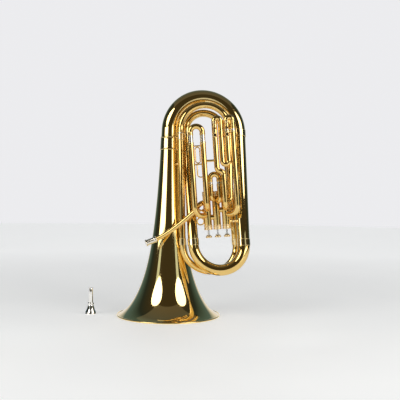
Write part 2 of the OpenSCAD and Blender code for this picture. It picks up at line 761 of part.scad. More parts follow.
// Place and slope of the pipe where its two curves meet, and how far each end runs nearly straight
pipe_bend_rise = 109;
pipe_slope = 43;
pipe_runs = [40, 50, 16, 22];
pipe_bend = [top_bow_x, -leadpipe_front, receiver_z + pipe_bend_rise];
pipe_bend_along = [cos(pipe_slope), 0, sin(pipe_slope)];
pipe_curves = [
    [pipe_start, pipe_start + pipe_runs[0] * receiver_along,
     pipe_bend - pipe_runs[1] * pipe_bend_along, pipe_bend],
    [pipe_bend, pipe_bend + pipe_runs[2] * pipe_bend_along,
     pipe_end - pipe_runs[3] * pipe_end_along, pipe_end]];
module leadpipe() {
    steps = 11;
    places = concat([for (i = [0:steps]) [0, i / steps]], [for (i = [1:steps]) [1, i / steps]]);
    n = len(places) - 1;
    color(brass) difference() {
        swept_tube([for (p = places) curve(pipe_curves[p[0]], p[1])],
            [for (p = places) curve_along(pipe_curves[p[0]], p[1])], [0, -1, 0],
            [for (i = [0:n]) mix(leadpipe_small_d, leadpipe_large_d, i / n) / 2], tube_wall);
        casing_seat(1);
    }
}

// Socket that takes the mouthpiece's shank, with a bead round its mouth
module mouthpiece_receiver() {
    bore_share = 0.72;
    bore_depth = receiver_h * bore_share;
    bead_r = 2.4;
    bead_sink = 0.4;
    collar_h = 4;
    collar_step = 1;
    color(brass) towards(receiver_point, receiver_point + receiver_along) difference() {
        union() {
            cylinder(h = receiver_h, d = receiver_d);
            translate([0, 0, bead_r]) rotate_extrude() translate([receiver_d / 2 - bead_sink, 0])
                circle(r = bead_r, $fn = 32);
            translate([0, 0, receiver_h - collar_h])
                cylinder(h = collar_h, d = receiver_d + 2 * collar_step);
        }
        translate([0, 0, -cut]) cylinder(h = bore_depth + cut, d = receiver_bore);
        translate([0, 0, receiver_h - receiver_grip - seat_gap])
            cylinder(h = receiver_h, d = leadpipe_small_d + 2 * ferrule_gap);
        translate([0, 0, -cut]) cylinder(h = receiver_h, d = leadpipe_small_d - 2 * tube_wall);
    }
}

// Stays: a rod between two axes, with a round foot at each tube, trimmed to the tubes
stay_d = 6;
foot_d = 13;
foot_h = 3;
module stay(p, q, r_p, r_q) {
    length = norm(q - p);
    towards(p, q) {
        translate([0, 0, r_p / 2]) cylinder(h = length - r_p / 2 - r_q / 2, d = stay_d);
        translate([0, 0, r_p / 2]) cylinder(h = r_p / 2 + foot_h, d = foot_d);
        translate([0, 0, length - r_q - foot_h]) cylinder(h = r_q / 2 + foot_h, d = foot_d);
    }
}
function on_line(p, q, z) = mix(p, q, (z - p[2]) / (q[2] - p[2]));
// Full solid of a straight tube, a little larger, to trim against
module tube_seat(p, q, d_p, d_q) {
    towards(p, q) cylinder(h = norm(q - p), d1 = d_p + 2 * seat_gap, d2 = d_q + 2 * seat_gap);
}
module bell_seat(low, high) {
    steps = 4;
    heights = [for (i = [0:steps]) mix(low, high, i / steps)];
    rotate_extrude() polygon(concat([[0, low]], [for (z = heights) [bell_r(z) + seat_gap, z]], [[0, high]]));
}

bell_stay_z = [330, 540];
module bell_stays() {
    color(brass) difference() {
        for (z = bell_stay_z) {
            q = on_line(small_left, tuning_left, z);
            stay([0, 0, z], q, bell_r(z), tuning_leg_d / 2);
        }
        for (z = bell_stay_z) bell_seat(z - 2 * foot_d, z + 2 * foot_d);
        tube_seat(small_left, tuning_left, tuning_leg_d, tuning_leg_d);
    }
}

casing_stay_z = [64, 24];
module valve_stays() {
    left = valve_point(valve_place(1), 0, casing_stay_z[0]);
    right = valve_point(valve_place(3), 0, casing_stay_z[1]);
    taper = 2;
    limb = on_line(top_left, inner_left, left[2]);
    outer = on_line(top_right, bottom_right, right[2]);
    color(brass) difference() {
        union() {
            stay(left, limb, casing_d / 2, inner_low_d / 2 - taper);
            stay(right, outer, casing_d / 2, outer_low_d / 2);
        }
        casing_seat(1);
        casing_seat(3);
        tube_seat(top_left, inner_left, inner_low_d, inner_top_d);
        tube_seat(top_right, bottom_right, outer_low_d, outer_top_d);
    }
}

slide_stay_z = [224, 287];
link_stay_z = 234;
slide_stay_d = 5;
link_stay_d = 8;
module leg_seat(i, x) {
    at_valve(i) translate([x, -slide_front, 0]) cylinder(h = third_top, d = slide_leg_d + 2 * seat_gap);
}
// Wire finger ring between the first slide's stays, and a hook below it
ring_wire_d = 4;
ring_r = 8;
hook_r = 10;
hook_x = -25;
hook_z = 180;
module wire_bend(r, angle) {
    rotate([90, 0, 0]) rotate_extrude(angle = angle, $fn = 48) translate([r, 0])
        circle(d = ring_wire_d, $fn = 16);
}
module wire_run(h) {
    cylinder(h = h, d = ring_wire_d, $fn = 16);
}
module finger_ring() {
    low = slide_stay_z[0] + slide_stay_d / 2 + seat_gap + ring_r + ring_wire_d / 2;
    high = slide_stay_z[1] - slide_stay_d / 2 - seat_gap - ring_r - ring_wire_d / 2;
    translate([-leg_pitch, -slide_front, 0]) {
        translate([0, 0, high]) wire_bend(ring_r, 180);
        translate([0, 0, low]) mirror([0, 0, 1]) wire_bend(ring_r, 180);
        for (x = [-ring_r, ring_r]) translate([x, 0, low + solder_gap]) wire_run(high - low - 2 * solder_gap);
    }
}
module finger_hook() {
    hook_top = slide_stay_z[0] - slide_stay_d / 2 - seat_gap;
    translate([hook_x, -slide_front, hook_z + hook_r]) {
        translate([0, 0, solder_gap]) wire_run(hook_top - hook_z - hook_r - solder_gap);
        translate([hook_r, 0, 0]) rotate([0, 180, 0]) wire_bend(hook_r, 90);
        translate([hook_r + solder_gap, 0, -hook_r]) rotate([0, 90, 0]) wire_run(-hook_x - hook_r - solder_gap);
    }
}
module slide_stays() {
    color(brass) difference() {
        union() {
            at_valve(1) finger_ring();
            at_valve(1) finger_hook();
            at_valve(1) for (z = slide_stay_z) translate([-2 * leg_pitch, -slide_front, z]) rotate([0, 90, 0])
                cylinder(h = 2 * leg_pitch, d = slide_stay_d);
            at_valve(1) translate([0, -slide_front, link_stay_z]) rotate([0, 90, 0])
                cylinder(h = 2 * valve_pitch - leg_pitch, d = link_stay_d);
        }
        leg_seat(1, -2 * leg_pitch);
        leg_seat(1, 0);
        leg_seat(3, -leg_pitch);
    }
}

thumb_ring_r = 12;
thumb_wire_d = 5;
thumb_ring_z = 28;
module thumb_ring() {
    color(brass) difference() {
        at_valve(1) translate([-casing_d / 2 - thumb_ring_r, 0, thumb_ring_z]) rotate([90, 0, 0])
            rotate_extrude() translate([thumb_ring_r, 0]) circle(d = thumb_wire_d, $fn = 32);
        casing_seat(1);
    }
}

// Water keys: a nipple and a saddle on the tube, a lever on the saddle's pin, a cork in the lever's cup
nipple_d = 8;
nipple_h = 4;
nipple_bore = 4;
pivot_drop = 20;
pivot_out = slide_leg_d / 2 + 7;
pin_d = 2.4;
key_cup_d = 13;
key_cup_wall = 1;
key_cup_h = 3.2;
cork_h = 2.4;
cork_gap = 0.2;
cork_stand = 0.6;
ear_w = 1.6;
ear_r = 3;
ear_play = 0.4;
// Strap of the lever, its reach past the pivot, and the touch plate at its end
strap_w = 5;
strap_t = 2;
strap_drop = 22;
touch_drop = 30;
touch_h = 12;
ear_gap = strap_w + 2 * ear_play;
// Heights of the two nipples from the joint of the third slide's bow
nipple_1_z = third_top - 6;
nipple_2_z = third_top - 6;
// Frame with its origin on the tube's axis at the nipple, -Y out of the tube
module key_1_frame() at_valve(3) translate([-leg_pitch, -slide_front, nipple_1_z]) children();
module key_2_frame() at_valve(3) translate([leg_pitch, -slide_front, nipple_2_z]) children();

module key_mount(seat_d) {
    difference() {
        union() {
            rotate([90, 0, 0]) cylinder(h = slide_leg_d / 2 + nipple_h, d = nipple_d);
            for (s = [-1, 1])
                translate([s * (ear_gap + ear_w) / 2 - ear_w / 2, -pivot_out - ear_r, -pivot_drop - ear_r])
                    cube([ear_w, pivot_out, 2 * ear_r]);
        }
        translate([0, 0, -2 * pivot_drop]) cylinder(h = 4 * pivot_drop, d = seat_d + 2 * seat_gap);
        rotate([90, 0, 0]) cylinder(h = slide_leg_d, d = nipple_bore);
        translate([-slide_leg_d / 2, -pivot_out, -pivot_drop]) rotate([0, 90, 0])
            cylinder(h = slide_leg_d, d = pin_d + 2 * run_fit);
    }
}
module key_lever() {
    face = slide_leg_d / 2 + nipple_h + cork_gap;
    front = -pivot_out - strap_t;
    difference() {
        union() {
            translate([0, -face - cork_stand, 0]) rotate([90, 0, 0]) cylinder(h = key_cup_h, d = key_cup_d);
            translate([-strap_w / 2, front, -pivot_drop - strap_t]) cube([strap_w, 2 * strap_t, 2 * strap_t]);
            translate([-strap_w / 2, front, -pivot_drop - strap_drop])
                cube([strap_w, strap_t, strap_drop + pivot_drop - strap_t]);
            translate([-strap_w, front, -pivot_drop - touch_drop]) cube([2 * strap_w, strap_t, touch_h]);
            translate([-ear_gap / 2 - ear_w, -pivot_out, -pivot_drop]) rotate([0, 90, 0])
                cylinder(h = ear_gap + 2 * ear_w, d = pin_d);
        }
        translate([0, -face, 0]) rotate([90, 0, 0]) cylinder(h = cork_h, d = key_cup_d - 2 * key_cup_wall);
    }
}
module key_cork() {
    face = slide_leg_d / 2 + nipple_h + cork_gap;
    translate([0, -face, 0]) rotate([90, 0, 0])
        cylinder(h = cork_h - seat_gap, d = key_cup_d - 2 * key_cup_wall - 2 * seat_gap);
}
module water_key_mount_1() color(brass) key_1_frame() key_mount(slide_leg_d);
module water_key_mount_2() color(brass) key_2_frame() key_mount(slide_bow_d);
module water_key_1() color(brass) key_1_frame() key_lever();
module water_key_2() color(brass) key_2_frame() key_lever();
module water_key_cork_1() color("tan") key_1_frame() key_cork();
module water_key_cork_2() color("tan") key_2_frame() key_cork();

// Mouthpiece, standing on its rim with its shank up
bowl_h = 32;
throat_r = 4.1;
throat_h = 12;
shank_wall = 1.2;
shoulder_z = 42;
// Outside of the cup up to the shoulder: distance in from the rim, height
cup_outline = [[2, 9], [6, 16], [9.5, 26], [11, 34], [9.5, 36], [9.5, shoulder_z - 2], [12.5, shoulder_z]];
module mouthpiece() {
    rim_r = mouthpiece_rim_d / 2;
    rim_round = (mouthpiece_rim_d - cup_d) / 4;
    outline = concat(
        [[cup_d / 2 + rim_round, 0]],
        [for (q = [-90:15:0]) [rim_r - rim_round + rim_round * cos(q), rim_round + rim_round * sin(q)]],
        [for (p = cup_outline) [rim_r - p[0], p[1]]],
        [[shank_tip_d / 2, mouthpiece_h], [shank_tip_d / 2 - shank_wall, mouthpiece_h],
         [throat_r, bowl_h + throat_h]],
        [for (q = [90:-10:0])
            [throat_r + (cup_d / 2 - throat_r) * cos(q), rim_round + (bowl_h - rim_round) * sin(q)]]);
    color(steel) translate([-mouthpiece_x, 0, 0]) rotate_extrude() polygon(outline);
}

bell();
bell_ferrule();
bottom_bow();
outer_branch();
top_bow();
inner_branch();
inner_bow();
small_branch();
small_bow();
tuning_leg_left();
tuning_leg_right();
bow_ferrules();
leadpipe();
mouthpiece_receiver();
valve_casing(1);  // valve_casing_1
valve_casing(2);  // valve_casing_2
valve_casing(3);  // valve_casing_3
top_cap(1);  // top_cap_1
top_cap(2);  // top_cap_2
top_cap(3);  // top_cap_3
bottom_caps();
valve_crossovers();
slide_1_outer_tubes();
slide_2_outer_tubes();
slide_3_outer_tubes();
slide_ferrules();
bell_stays();
valve_stays();
slide_stays();
thumb_ring();
water_key_mount_1();
water_key_mount_2();
piston(1);  // piston_1
piston(2);  // piston_2
piston(3);  // piston_3
stem(1);  // stem_1
stem(2);  // stem_2
stem(3);  // stem_3
finger_button(1);  // finger_button_1
finger_button(2);  // finger_button_2
finger_button(3);  // finger_button_3
button_felt(1);  // button_felt_1
button_felt(2);  // button_felt_2
button_felt(3);  // button_felt_3
valve_spring(1);  // valve_spring_1
valve_spring(2);  // valve_spring_2
valve_spring(3);  // valve_spring_3
tuning_bow();
tuning_inner_tubes();
slide_1_bow();
slide_1_inner_tubes();
slide_2_bow();
slide_2_inner_tubes();
slide_3_bow();
slide_3_inner_tubes();
water_key_1();
water_key_2();
water_key_cork_1();
water_key_cork_2();
mouthpiece();
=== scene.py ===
import math

import bmesh
import bpy
from mathutils import Matrix, Vector


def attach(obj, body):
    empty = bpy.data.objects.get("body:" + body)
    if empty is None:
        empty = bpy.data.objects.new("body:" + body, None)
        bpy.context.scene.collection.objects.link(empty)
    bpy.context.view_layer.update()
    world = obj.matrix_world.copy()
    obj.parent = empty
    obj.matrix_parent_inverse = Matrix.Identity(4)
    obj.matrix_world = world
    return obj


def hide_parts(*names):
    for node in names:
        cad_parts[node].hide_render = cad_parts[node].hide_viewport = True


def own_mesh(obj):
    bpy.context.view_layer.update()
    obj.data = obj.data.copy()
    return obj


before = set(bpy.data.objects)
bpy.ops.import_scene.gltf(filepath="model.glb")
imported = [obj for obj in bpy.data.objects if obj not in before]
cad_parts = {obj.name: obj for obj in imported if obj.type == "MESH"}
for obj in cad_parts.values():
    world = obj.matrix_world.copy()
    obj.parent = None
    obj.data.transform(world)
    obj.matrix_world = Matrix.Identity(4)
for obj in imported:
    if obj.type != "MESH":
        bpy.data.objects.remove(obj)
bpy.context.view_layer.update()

# Bell
# A cone of sheet brass, spun on a mandrel to a long flare that turns out at the mouth, with its edge rolled
# round a wire. The sheet is buffed to a mirror and sprayed with clear gold lacquer.
mm = 0.001
bell_rim_r = 185 * mm
bell_tail_r = 31.5 * mm
bell_h = 660 * mm
bell_joint_z = 634 * mm
bell_sheet = 0.8 * mm
rim_bead_r = 3 * mm
rim_bead_z = 2.55 * mm
rim_bead_sides = 28
lip_turn = 14 * mm
lip_h = 12 * mm
flare_power = 1.05
flare_steps = 90
flare_crowding = 2.2
flare_mouth_r = bell_rim_r - rim_bead_r - lip_turn
flare_shift = (bell_h - rim_bead_z) / ((flare_mouth_r / bell_tail_r) ** (1 / flare_power) - 1)


def bell_radius(z):
    """Radius of the bell at a height: a horn curve, and a lip that turns out at the mouth."""
    up = z - rim_bead_z
    horn_r = flare_mouth_r * (flare_shift / (up + flare_shift)) ** flare_power
    return horn_r + lip_turn * math.exp(-up / lip_h)


def figured(tree, kind, *values):
    """Result of a sum in a shader, on numbers or sockets."""
    step = tree.nodes.new("ShaderNodeMath")
    step.operation = kind
    for socket, value in zip(step.inputs, values):
        if isinstance(value, float):
            socket.default_value = value
        else:
            tree.links.new(value, socket)
    return step.outputs["Value"]


def blended(tree, amount, a, b):
    """Mix of two colours in a shader, each of them a colour or a socket."""
    mix = tree.nodes.new("ShaderNodeMix")
    mix.data_type = "RGBA"
    tree.links.new(amount, mix.inputs["Factor"])
    for key, colour in (("A", a), ("B", b)):
        if isinstance(colour, tuple):
            mix.inputs[key].default_value = colour
        else:
            tree.links.new(colour, mix.inputs[key])
    return mix.outputs["Result"]


def lacquer_wear():
    """Tone, smears and buffing lines of metal that has been handled, with tarnish at its joints."""
    group = bpy.data.node_groups.new("lacquer_wear", "ShaderNodeTree")
    for name, kind in (("Metal", "Color"), ("Deep", "Color"), ("Tarnish", "Color"), ("Gloss", "Float"),
                       ("Smears", "Float"), ("Buffing", "Float")):
        group.interface.new_socket(name, in_out="INPUT", socket_type="NodeSocket" + kind)
    for name, kind in (("Color", "Color"), ("Roughness", "Float"), ("Height", "Float")):
        group.interface.new_socket(name, in_out="OUTPUT", socket_type="NodeSocket" + kind)
    add, link = group.nodes.new, group.links.new
    given, result = add("NodeGroupInput"), add("NodeGroupOutput")
    place = add("ShaderNodeTexCoord")
    line_scale = (900.0, 900.0, 30.0)
    line_height = 0.0004
    dull_roughness = 0.25

    def cloud(scale, detail, low, high, source=place.outputs["Object"]):
        """Noise that is none below low and all above high."""
        noise, spread = add("ShaderNodeTexNoise"), add("ShaderNodeMapRange")
        noise.inputs["Scale"].default_value = scale
        noise.inputs["Detail"].default_value = detail
        spread.inputs["From Min"].default_value = low
        spread.inputs["From Max"].default_value = high
        link(source, noise.inputs["Vector"])
        link(noise.outputs["Fac"], spread.inputs["Value"])
        return spread.outputs["Result"]

    # Lacquer lies a little deeper in some places than in others
    depth = cloud(scale=6.0, detail=2.0, low=0.35, high=0.75)
    toned = blended(group, depth, given.outputs["Metal"], given.outputs["Deep"])
    # Metal dulls where two pieces are soldered, unevenly
    seam = add("ShaderNodeAttribute")
    seam.attribute_name = "seam"
    patches = cloud(scale=160.0, detail=4.0, low=0.3, high=0.7)
    dulled = figured(group, "MULTIPLY", seam.outputs["Fac"], patches)
    link(blended(group, dulled, toned, given.outputs["Tarnish"]), result.inputs["Color"])
    # Hands leave smears, and the buffing wheel leaves fine lines along the horn
    handled = cloud(scale=34.0, detail=6.0, low=0.5, high=0.8)
    smears = figured(group, "MULTIPLY", handled, given.outputs["Smears"])
    stretched = add("ShaderNodeMapping")
    stretched.inputs["Scale"].default_value = line_scale
    link(place.outputs["Object"], stretched.inputs["Vector"])
    lines = cloud(scale=1.0, detail=2.0, low=0.45, high=0.8, source=stretched.outputs["Vector"])
    rough = figured(group, "ADD", given.outputs["Gloss"], smears)
    rough = figured(group, "ADD", rough, figured(group, "MULTIPLY", lines, given.outputs["Buffing"]))
    rough = figured(group, "ADD", rough, figured(group, "MULTIPLY", dulled, dull_roughness))
    link(rough, result.inputs["Roughness"])
    # Sheet that was worked by hand is never quite even
    waves = cloud(scale=13.0, detail=1.0, low=0.0, high=1.0)
    height = figured(group, "ADD", waves, figured(group, "MULTIPLY", lines, line_height))
    link(height, result.inputs["Height"])
    return group


wear = lacquer_wear()


def polished(name, metal, deep, tarnish, gloss, smears, buffing, wave, lacquer):
    """Metal with worn polish: wave is how uneven its sheet is, in metres, and lacquer is its clear coat."""
    material = bpy.data.materials.new(name)
    material.use_nodes = True
    nodes, link = material.node_tree.nodes, material.node_tree.links.new
    shader = nodes["Principled BSDF"]
    shader.inputs["Metallic"].default_value = 1.0
    shader.inputs["Coat Weight"].default_value = lacquer
    shader.inputs["Coat Roughness"].default_value = 0.03
    use = nodes.new("ShaderNodeGroup")
    use.node_tree = wear
    for key, value in (("Metal", (*metal, 1)), ("Deep", (*deep, 1)), ("Tarnish", (*tarnish, 1)),
                       ("Gloss", gloss), ("Smears", smears), ("Buffing", buffing)):
        use.inputs[key].default_value = value
    bump = nodes.new("ShaderNodeBump")
    bump.inputs["Distance"].default_value = wave
    link(use.outputs["Height"], bump.inputs["Height"])
    link(use.outputs["Color"], shader.inputs["Base Color"])
    link(use.outputs["Roughness"], shader.inputs["Roughness"])
    link(bump.outputs["Normal"], shader.inputs["Normal"])
    return material


gold_lacquer = polished("gold_lacquer", (0.90, 0.70, 0.31), (0.84, 0.61, 0.23), (0.30, 0.17, 0.06),
                        gloss=0.05, smears=0.03, buffing=0.02, wave=0.0004, lacquer=0.5)


def spun(outline, closed=False, steps=160):
    """Shape turned about the Z axis from an outline of (radius, height)."""
    weld_gap = 1e-7
    bm = bmesh.new()
    points = [bm.verts.new((r, 0, z)) for r, z in outline]
    next_points = points[1:] + points[:1] if closed else points[1:]
    edges = [bm.edges.new(pair) for pair in zip(points, next_points)]
    bmesh.ops.spin(bm, geom=points + edges, cent=(0, 0, 0), axis=(0, 0, 1), angle=2 * math.pi, steps=steps,
                   use_merge=True)
    bmesh.ops.remove_doubles(bm, verts=bm.verts, dist=weld_gap)
    bmesh.ops.recalc_face_normals(bm, faces=bm.faces)
    return bm


def walled(bm, thickness):
    """Gives an open skin its sheet thickness, inwards."""
    bmesh.ops.solidify(bm, geom=bm.faces[:], thickness=thickness)
    return bm


def joined(into, other, place=Matrix()):
    """Adds another shape to this one, moved to its place."""
    loose = bpy.data.meshes.new("loose")
    other.transform(place)
    other.to_mesh(loose)
    other.free()
    into.from_mesh(loose)
    bpy.data.meshes.remove(loose)
    return into


def made(name, bm, material, body, slot, *nodes, sharp=40):
    """Finished piece: smooth faces with crisp edges, its material, and its place among the CAD bodies."""
    mesh = bpy.data.meshes.new(name)
    bm.to_mesh(mesh)
    bm.free()
    mesh.shade_smooth()
    mesh.set_sharp_from_angle(angle=math.radians(sharp))
    mesh.materials.append(material)
    piece = bpy.data.objects.new(name, mesh)
    bpy.context.scene.collection.objects.link(piece)
    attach(piece, body)
    if nodes:
        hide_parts(*nodes)
    return piece


def arc(r, z, wide, tall, angles):
    """Round stretch of an outline about (r, z), with its half width, half height and angles in degrees."""
    turns = [math.radians(angle) for angle in angles]
    return [(r + wide * math.cos(turn), z + tall * math.sin(turn)) for turn in turns]


flare_h = bell_joint_z - rim_bead_z
flare_heights = [rim_bead_z + flare_h * (k / flare_steps) ** flare_crowding for k in range(flare_steps + 1)]
bell = walled(spun([(bell_radius(z), z) for z in flare_heights]), bell_sheet)
rim_section = arc(bell_rim_r - rim_bead_r, rim_bead_z, rim_bead_r, rim_bead_r,
                  [360 * k / rim_bead_sides for k in range(rim_bead_sides)])
rim_bead = spun(rim_section, closed=True)
bmesh.ops.bisect_plane(rim_bead, geom=rim_bead.verts[:] + rim_bead.edges[:] + rim_bead.faces[:],
                       plane_co=(0, 0, 0), plane_no=(0, 0, -1), clear_outer=True)
bmesh.ops.bridge_loops(rim_bead, edges=[edge for edge in rim_bead.edges if edge.is_boundary])
made("bell_flare", joined(bell, rim_bead), gold_lacquer, "horn", "lacquered_brass", "bell")

# Bell ferrule
# A tapered sleeve of brass with a bead rolled at each end, slid over the tail of the bell and soldered at the
# joint with the bottom bow.
ferrule_wall = 1.1 * mm
ferrule_gap = 0.4 * mm
joint_cover = 3 * mm
bell_ferrule_h = 46 * mm


def sleeve_outline(h, inner_r, wall, swell=1.6):
    """Outline of a sleeve whose bore is inner_r(height), with a bead of swell walls at each end."""
    steps = 8
    bead = swell * wall
    low = arc(inner_r(bead) + wall - bead / 2, bead, bead, bead, range(-90, 61, 15))
    high = arc(inner_r(h - bead) + wall - bead / 2, h - bead, bead, bead, range(-60, 91, 15))
    heights = [h * k / steps for k in range(steps + 1)]
    body = [(inner_r(z) + wall, z) for z in heights if low[-1][1] < z < high[0][1]]
    return low + body + high + [(inner_r(z), z) for z in reversed(heights)]


trim_lacquer = polished("trim_lacquer", (0.90, 0.70, 0.36), (0.85, 0.63, 0.27), (0.26, 0.16, 0.07),
                        gloss=0.06, smears=0.04, buffing=0.03, wave=0.0002, lacquer=0.5)
bell_ferrule_z = bell_joint_z + joint_cover - bell_ferrule_h
bell_ferrule = spun(sleeve_outline(
    bell_ferrule_h, lambda z: bell_radius(bell_ferrule_z + z) + ferrule_gap, ferrule_wall), closed=True)
bell_ferrule.transform(Matrix.Translation((0, 0, bell_ferrule_z)))
made("bell_tail_ferrule", bell_ferrule, trim_lacquer, "horn", "trim_brass", "bell_ferrule")

# Bottom bow and outer branch
# The widest bow of the bugle, formed from two halves of sheet brass and fitted to the bell's tail, and the
# tapered branch that runs down from it outside all the other tubes.
tube_sheet = 0.8 * mm
wide_tube_sides = 64
bottom_bow_right = Vector((243, 0, 660)) * mm
bottom_bow_skirt = 13 * mm
outer_top_r = 25 * mm
outer_low_r = 21 * mm
top_bow_right = Vector((263, -75, 258)) * mm
straight_up = Vector((0, 0, 1))
front = Vector((0, -1, 0))
outer_up = (bottom_bow_right - top_bow_right).normalized()


def seat(point, along, side):
    """Frame with its Z along a tube at a point of it."""
    z = along.normalized()
    x = (side - side.dot(z) * z).normalized()
    return Matrix.Translation(point) @ Matrix((x, z.cross(x), z)).transposed().to_4x4()


def drawn(stations, side, sides=48):
    """Skin of a tube drawn through stations of (point, direction, radius), open at both ends."""
    bm = bmesh.new()
    point, along, r = stations[0]
    at = seat(point, along, side)
    bmesh.ops.create_circle(bm, segments=sides, radius=r, matrix=at)
    soldered = bm.verts.layers.float.new("seam")
    ends = set(bm.verts)
    rim = bm.edges[:]
    for point, along, next_r in stations[1:]:
        grown = bmesh.ops.extrude_edge_only(bm, edges=rim)["geom"]
        verts = {g for g in grown if isinstance(g, bmesh.types.BMVert)}
        rim = [g for g in grown if isinstance(g, bmesh.types.BMEdge) and verts.issuperset(g.verts)]
        next_at = seat(point, along, side)
        onward = next_at @ Matrix.Scale(next_r / r, 4) @ at.inverted()
        bmesh.ops.transform(bm, matrix=onward, verts=list(verts))
        at, r = next_at, next_r
    for vert in ends | verts:
        vert[soldered] = 1.0
    bmesh.ops.recalc_face_normals(bm, faces=bm.faces)
    return bm


def run(p, q, r_p, r_q, step=14 * mm):
    """Stations of a straight tube."""
    n = max(1, round((q - p).length / step))
    along = (q - p).normalized()
    return [(p.lerp(q, k / n), along, r_p + (r_q - r_p) * k / n) for k in range(n + 1)]


def half_turn(a, b, up_a, up_b, r_a, r_b, n=64):
    """Stations of a bow from a to b that leaves a along up_a and comes into b against up_b."""
    half = (b - a) / 2
    nudge = 0.005

    def at(t):
        s = (1 - math.cos(t)) / 2
        return (a + b) / 2 - half * math.cos(t) + half.length * math.sin(t) * up_a.lerp(up_b, s)

    stations = []
    for k in range(n + 1):
        t = math.pi * k / n
        along = up_a if k == 0 else -up_b if k == n else at(t + nudge) - at(t - nudge)
        stations.append((at(t), along, r_a + (r_b - r_a) * k / n))
    return stations


bell_tail = Vector((0, 0, bell_h))
skirt_heights = (bell_joint_z, bell_joint_z + bottom_bow_skirt)
skirt = [(Vector((0, 0, z)), straight_up, bell_radius(z)) for z in skirt_heights]
bottom_turn = half_turn(bell_tail, bottom_bow_right, straight_up, outer_up, bell_tail_r, outer_top_r)
for name, stations in (("bottom_bow", skirt + bottom_turn),
                       ("outer_branch", run(top_bow_right, bottom_bow_right, outer_low_r, outer_top_r))):
    tube = walled(drawn(stations, front, sides=wide_tube_sides), tube_sheet)
    made(name + "_tube", tube, gold_lacquer, "horn", "lacquered_brass", name)

# Top bow, inner branch, inner bow, small branch and small bow
# The bugle narrows through three more bows and two straight branches, all drawn brass under the bell's gold
# lacquer, its colour painted a deeper gold as shade among the crowded tubes, until it is as wide as the main
# tuning slide.
# The bell's gold lacquer again, its colour darkened as painted shade where the tubes shade one another
shade_deepened_lacquer = polished("shade_deepened_lacquer", (0.87, 0.61, 0.21), (0.79, 0.51, 0.15), (0.27, 0.15, 0.05),
                        gloss=0.05, smears=0.03, buffing=0.02, wave=0.0003, lacquer=0.4)
top_bow_left = Vector((88, -75, 258)) * mm
inner_bow_left = Vector((56, -20, 655)) * mm
inner_bow_right = Vector((192, -20, 655)) * mm
small_bow_right = Vector((238, -25, 258)) * mm
small_bow_left = Vector((50, -60, 258)) * mm
tuning_left = Vector((39, -48, 660)) * mm
inner_low_r = 18.5 * mm
inner_top_r = 13.5 * mm
small_r = 12.5 * mm
tuning_leg_r = 11.15 * mm
inner_up = (inner_bow_left - top_bow_left).normalized()
small_up = (inner_bow_right - small_bow_right).normalized()
tuning_up = (tuning_left - small_bow_left).normalized()
top_turn = half_turn(top_bow_right, top_bow_left, -outer_up, -inner_up, outer_low_r, inner_low_r)
inner_turn = half_turn(inner_bow_left, inner_bow_right, inner_up, small_up, inner_top_r, small_r)
small_turn = half_turn(small_bow_right, small_bow_left, -small_up, -tuning_up, small_r, tuning_leg_r)
for name, stations in (("top_bow", top_turn),
                       ("inner_branch", run(top_bow_left, inner_bow_left, inner_low_r, inner_top_r)),
                       ("inner_bow", inner_turn),
                       ("small_branch", run(small_bow_right, inner_bow_right, small_r, small_r)),
                       ("small_bow", small_turn)):
    tube = walled(drawn(stations, front), tube_sheet)
    made(name + "_tube", tube, shade_deepened_lacquer, "horn", "lacquered_brass", name)

# Bow ferrules
# Short sleeves of thin brass with softly rounded edges, soldered over each joint between a bow and a branch
# and polished down until they stand only a little proud.
ferrule_h = 24 * mm
flush_swell = 0.66


def sleeve(h, inner_r, wall, **bead):
    """Sleeve of even bore round a tube."""
    return spun(sleeve_outline(h, lambda z: inner_r, wall, **bead), closed=True, steps=64)


bow_ferrules = bmesh.new()
for joint, toward, r in ((bottom_bow_right, top_bow_right, outer_top_r),
                         (top_bow_right, bottom_bow_right, outer_low_r),
                         (top_bow_left, inner_bow_left, inner_low_r),
                         (inner_bow_left, top_bow_left, inner_top_r),
                         (inner_bow_right, small_bow_right, small_r),
                         (small_bow_right, inner_bow_right, small_r),
                         (small_bow_left, tuning_left, tuning_leg_r)):
    along = (toward - joint).normalized()
    ferrule = sleeve(ferrule_h, r + ferrule_gap, ferrule_wall, swell=flush_swell)
    joined(bow_ferrules, ferrule, seat(joint - along * joint_cover, along, front))
made("bow_ferrule_sleeves", bow_ferrules, trim_lacquer, "horn", "trim_brass", "bow_ferrules")

# Main tuning slide
# Two outer legs of drawn brass take the thin nickel-silver tubes of a bow that pulls up to tune the horn. The
# bow is soldered over its tubes, with a ring rolled round the mouth of each socket.
mouth_ring_h = 5 * mm
mouth_ring_wall = 0.4 * mm
tuning_span = 169 * mm
tuning_socket_h = 10 * mm
nickel_silver = polished("nickel_silver", (0.82, 0.77, 0.66), (0.76, 0.69, 0.56), (0.36, 0.30, 0.21),
                         gloss=0.09, smears=0.10, buffing=0.07, wave=0.0002, lacquer=0.0)


def finished(node, material):
    """Gives a CAD node that keeps its own shape the finish of the real piece."""
    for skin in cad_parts[node].material_slots:
        skin.material = material


def slide_bow(left, right, up, r, socket_h, wall):
    """Bow of a slide with a straight socket on each side and a ring at the mouth of each."""
    turn = half_turn(left, right, up, up, r, r)
    low_left, low_right = left - up * socket_h, right - up * socket_h
    bow = walled(drawn([(low_left, up, r)] + turn + [(low_right, -up, r)], front), wall)
    for mouth in (low_left, low_right):
        joined(bow, sleeve(mouth_ring_h, r, mouth_ring_wall), seat(mouth, up, front))
    return bow


tuning_across = Vector((tuning_up.z, 0, -tuning_up.x)).normalized()
tuning_right = tuning_left + tuning_across * tuning_span
tuning_bow = slide_bow(tuning_left, tuning_right, tuning_up, tuning_leg_r, tuning_socket_h, tube_sheet)
made("tuning_slide_bow", tuning_bow, shade_deepened_lacquer, "main_tuning_slide", "lacquered_brass", "tuning_bow")
finished("tuning_inner_tubes", nickel_silver)
finished("tuning_leg_left", shade_deepened_lacquer)
finished("tuning_leg_right", shade_deepened_lacquer)

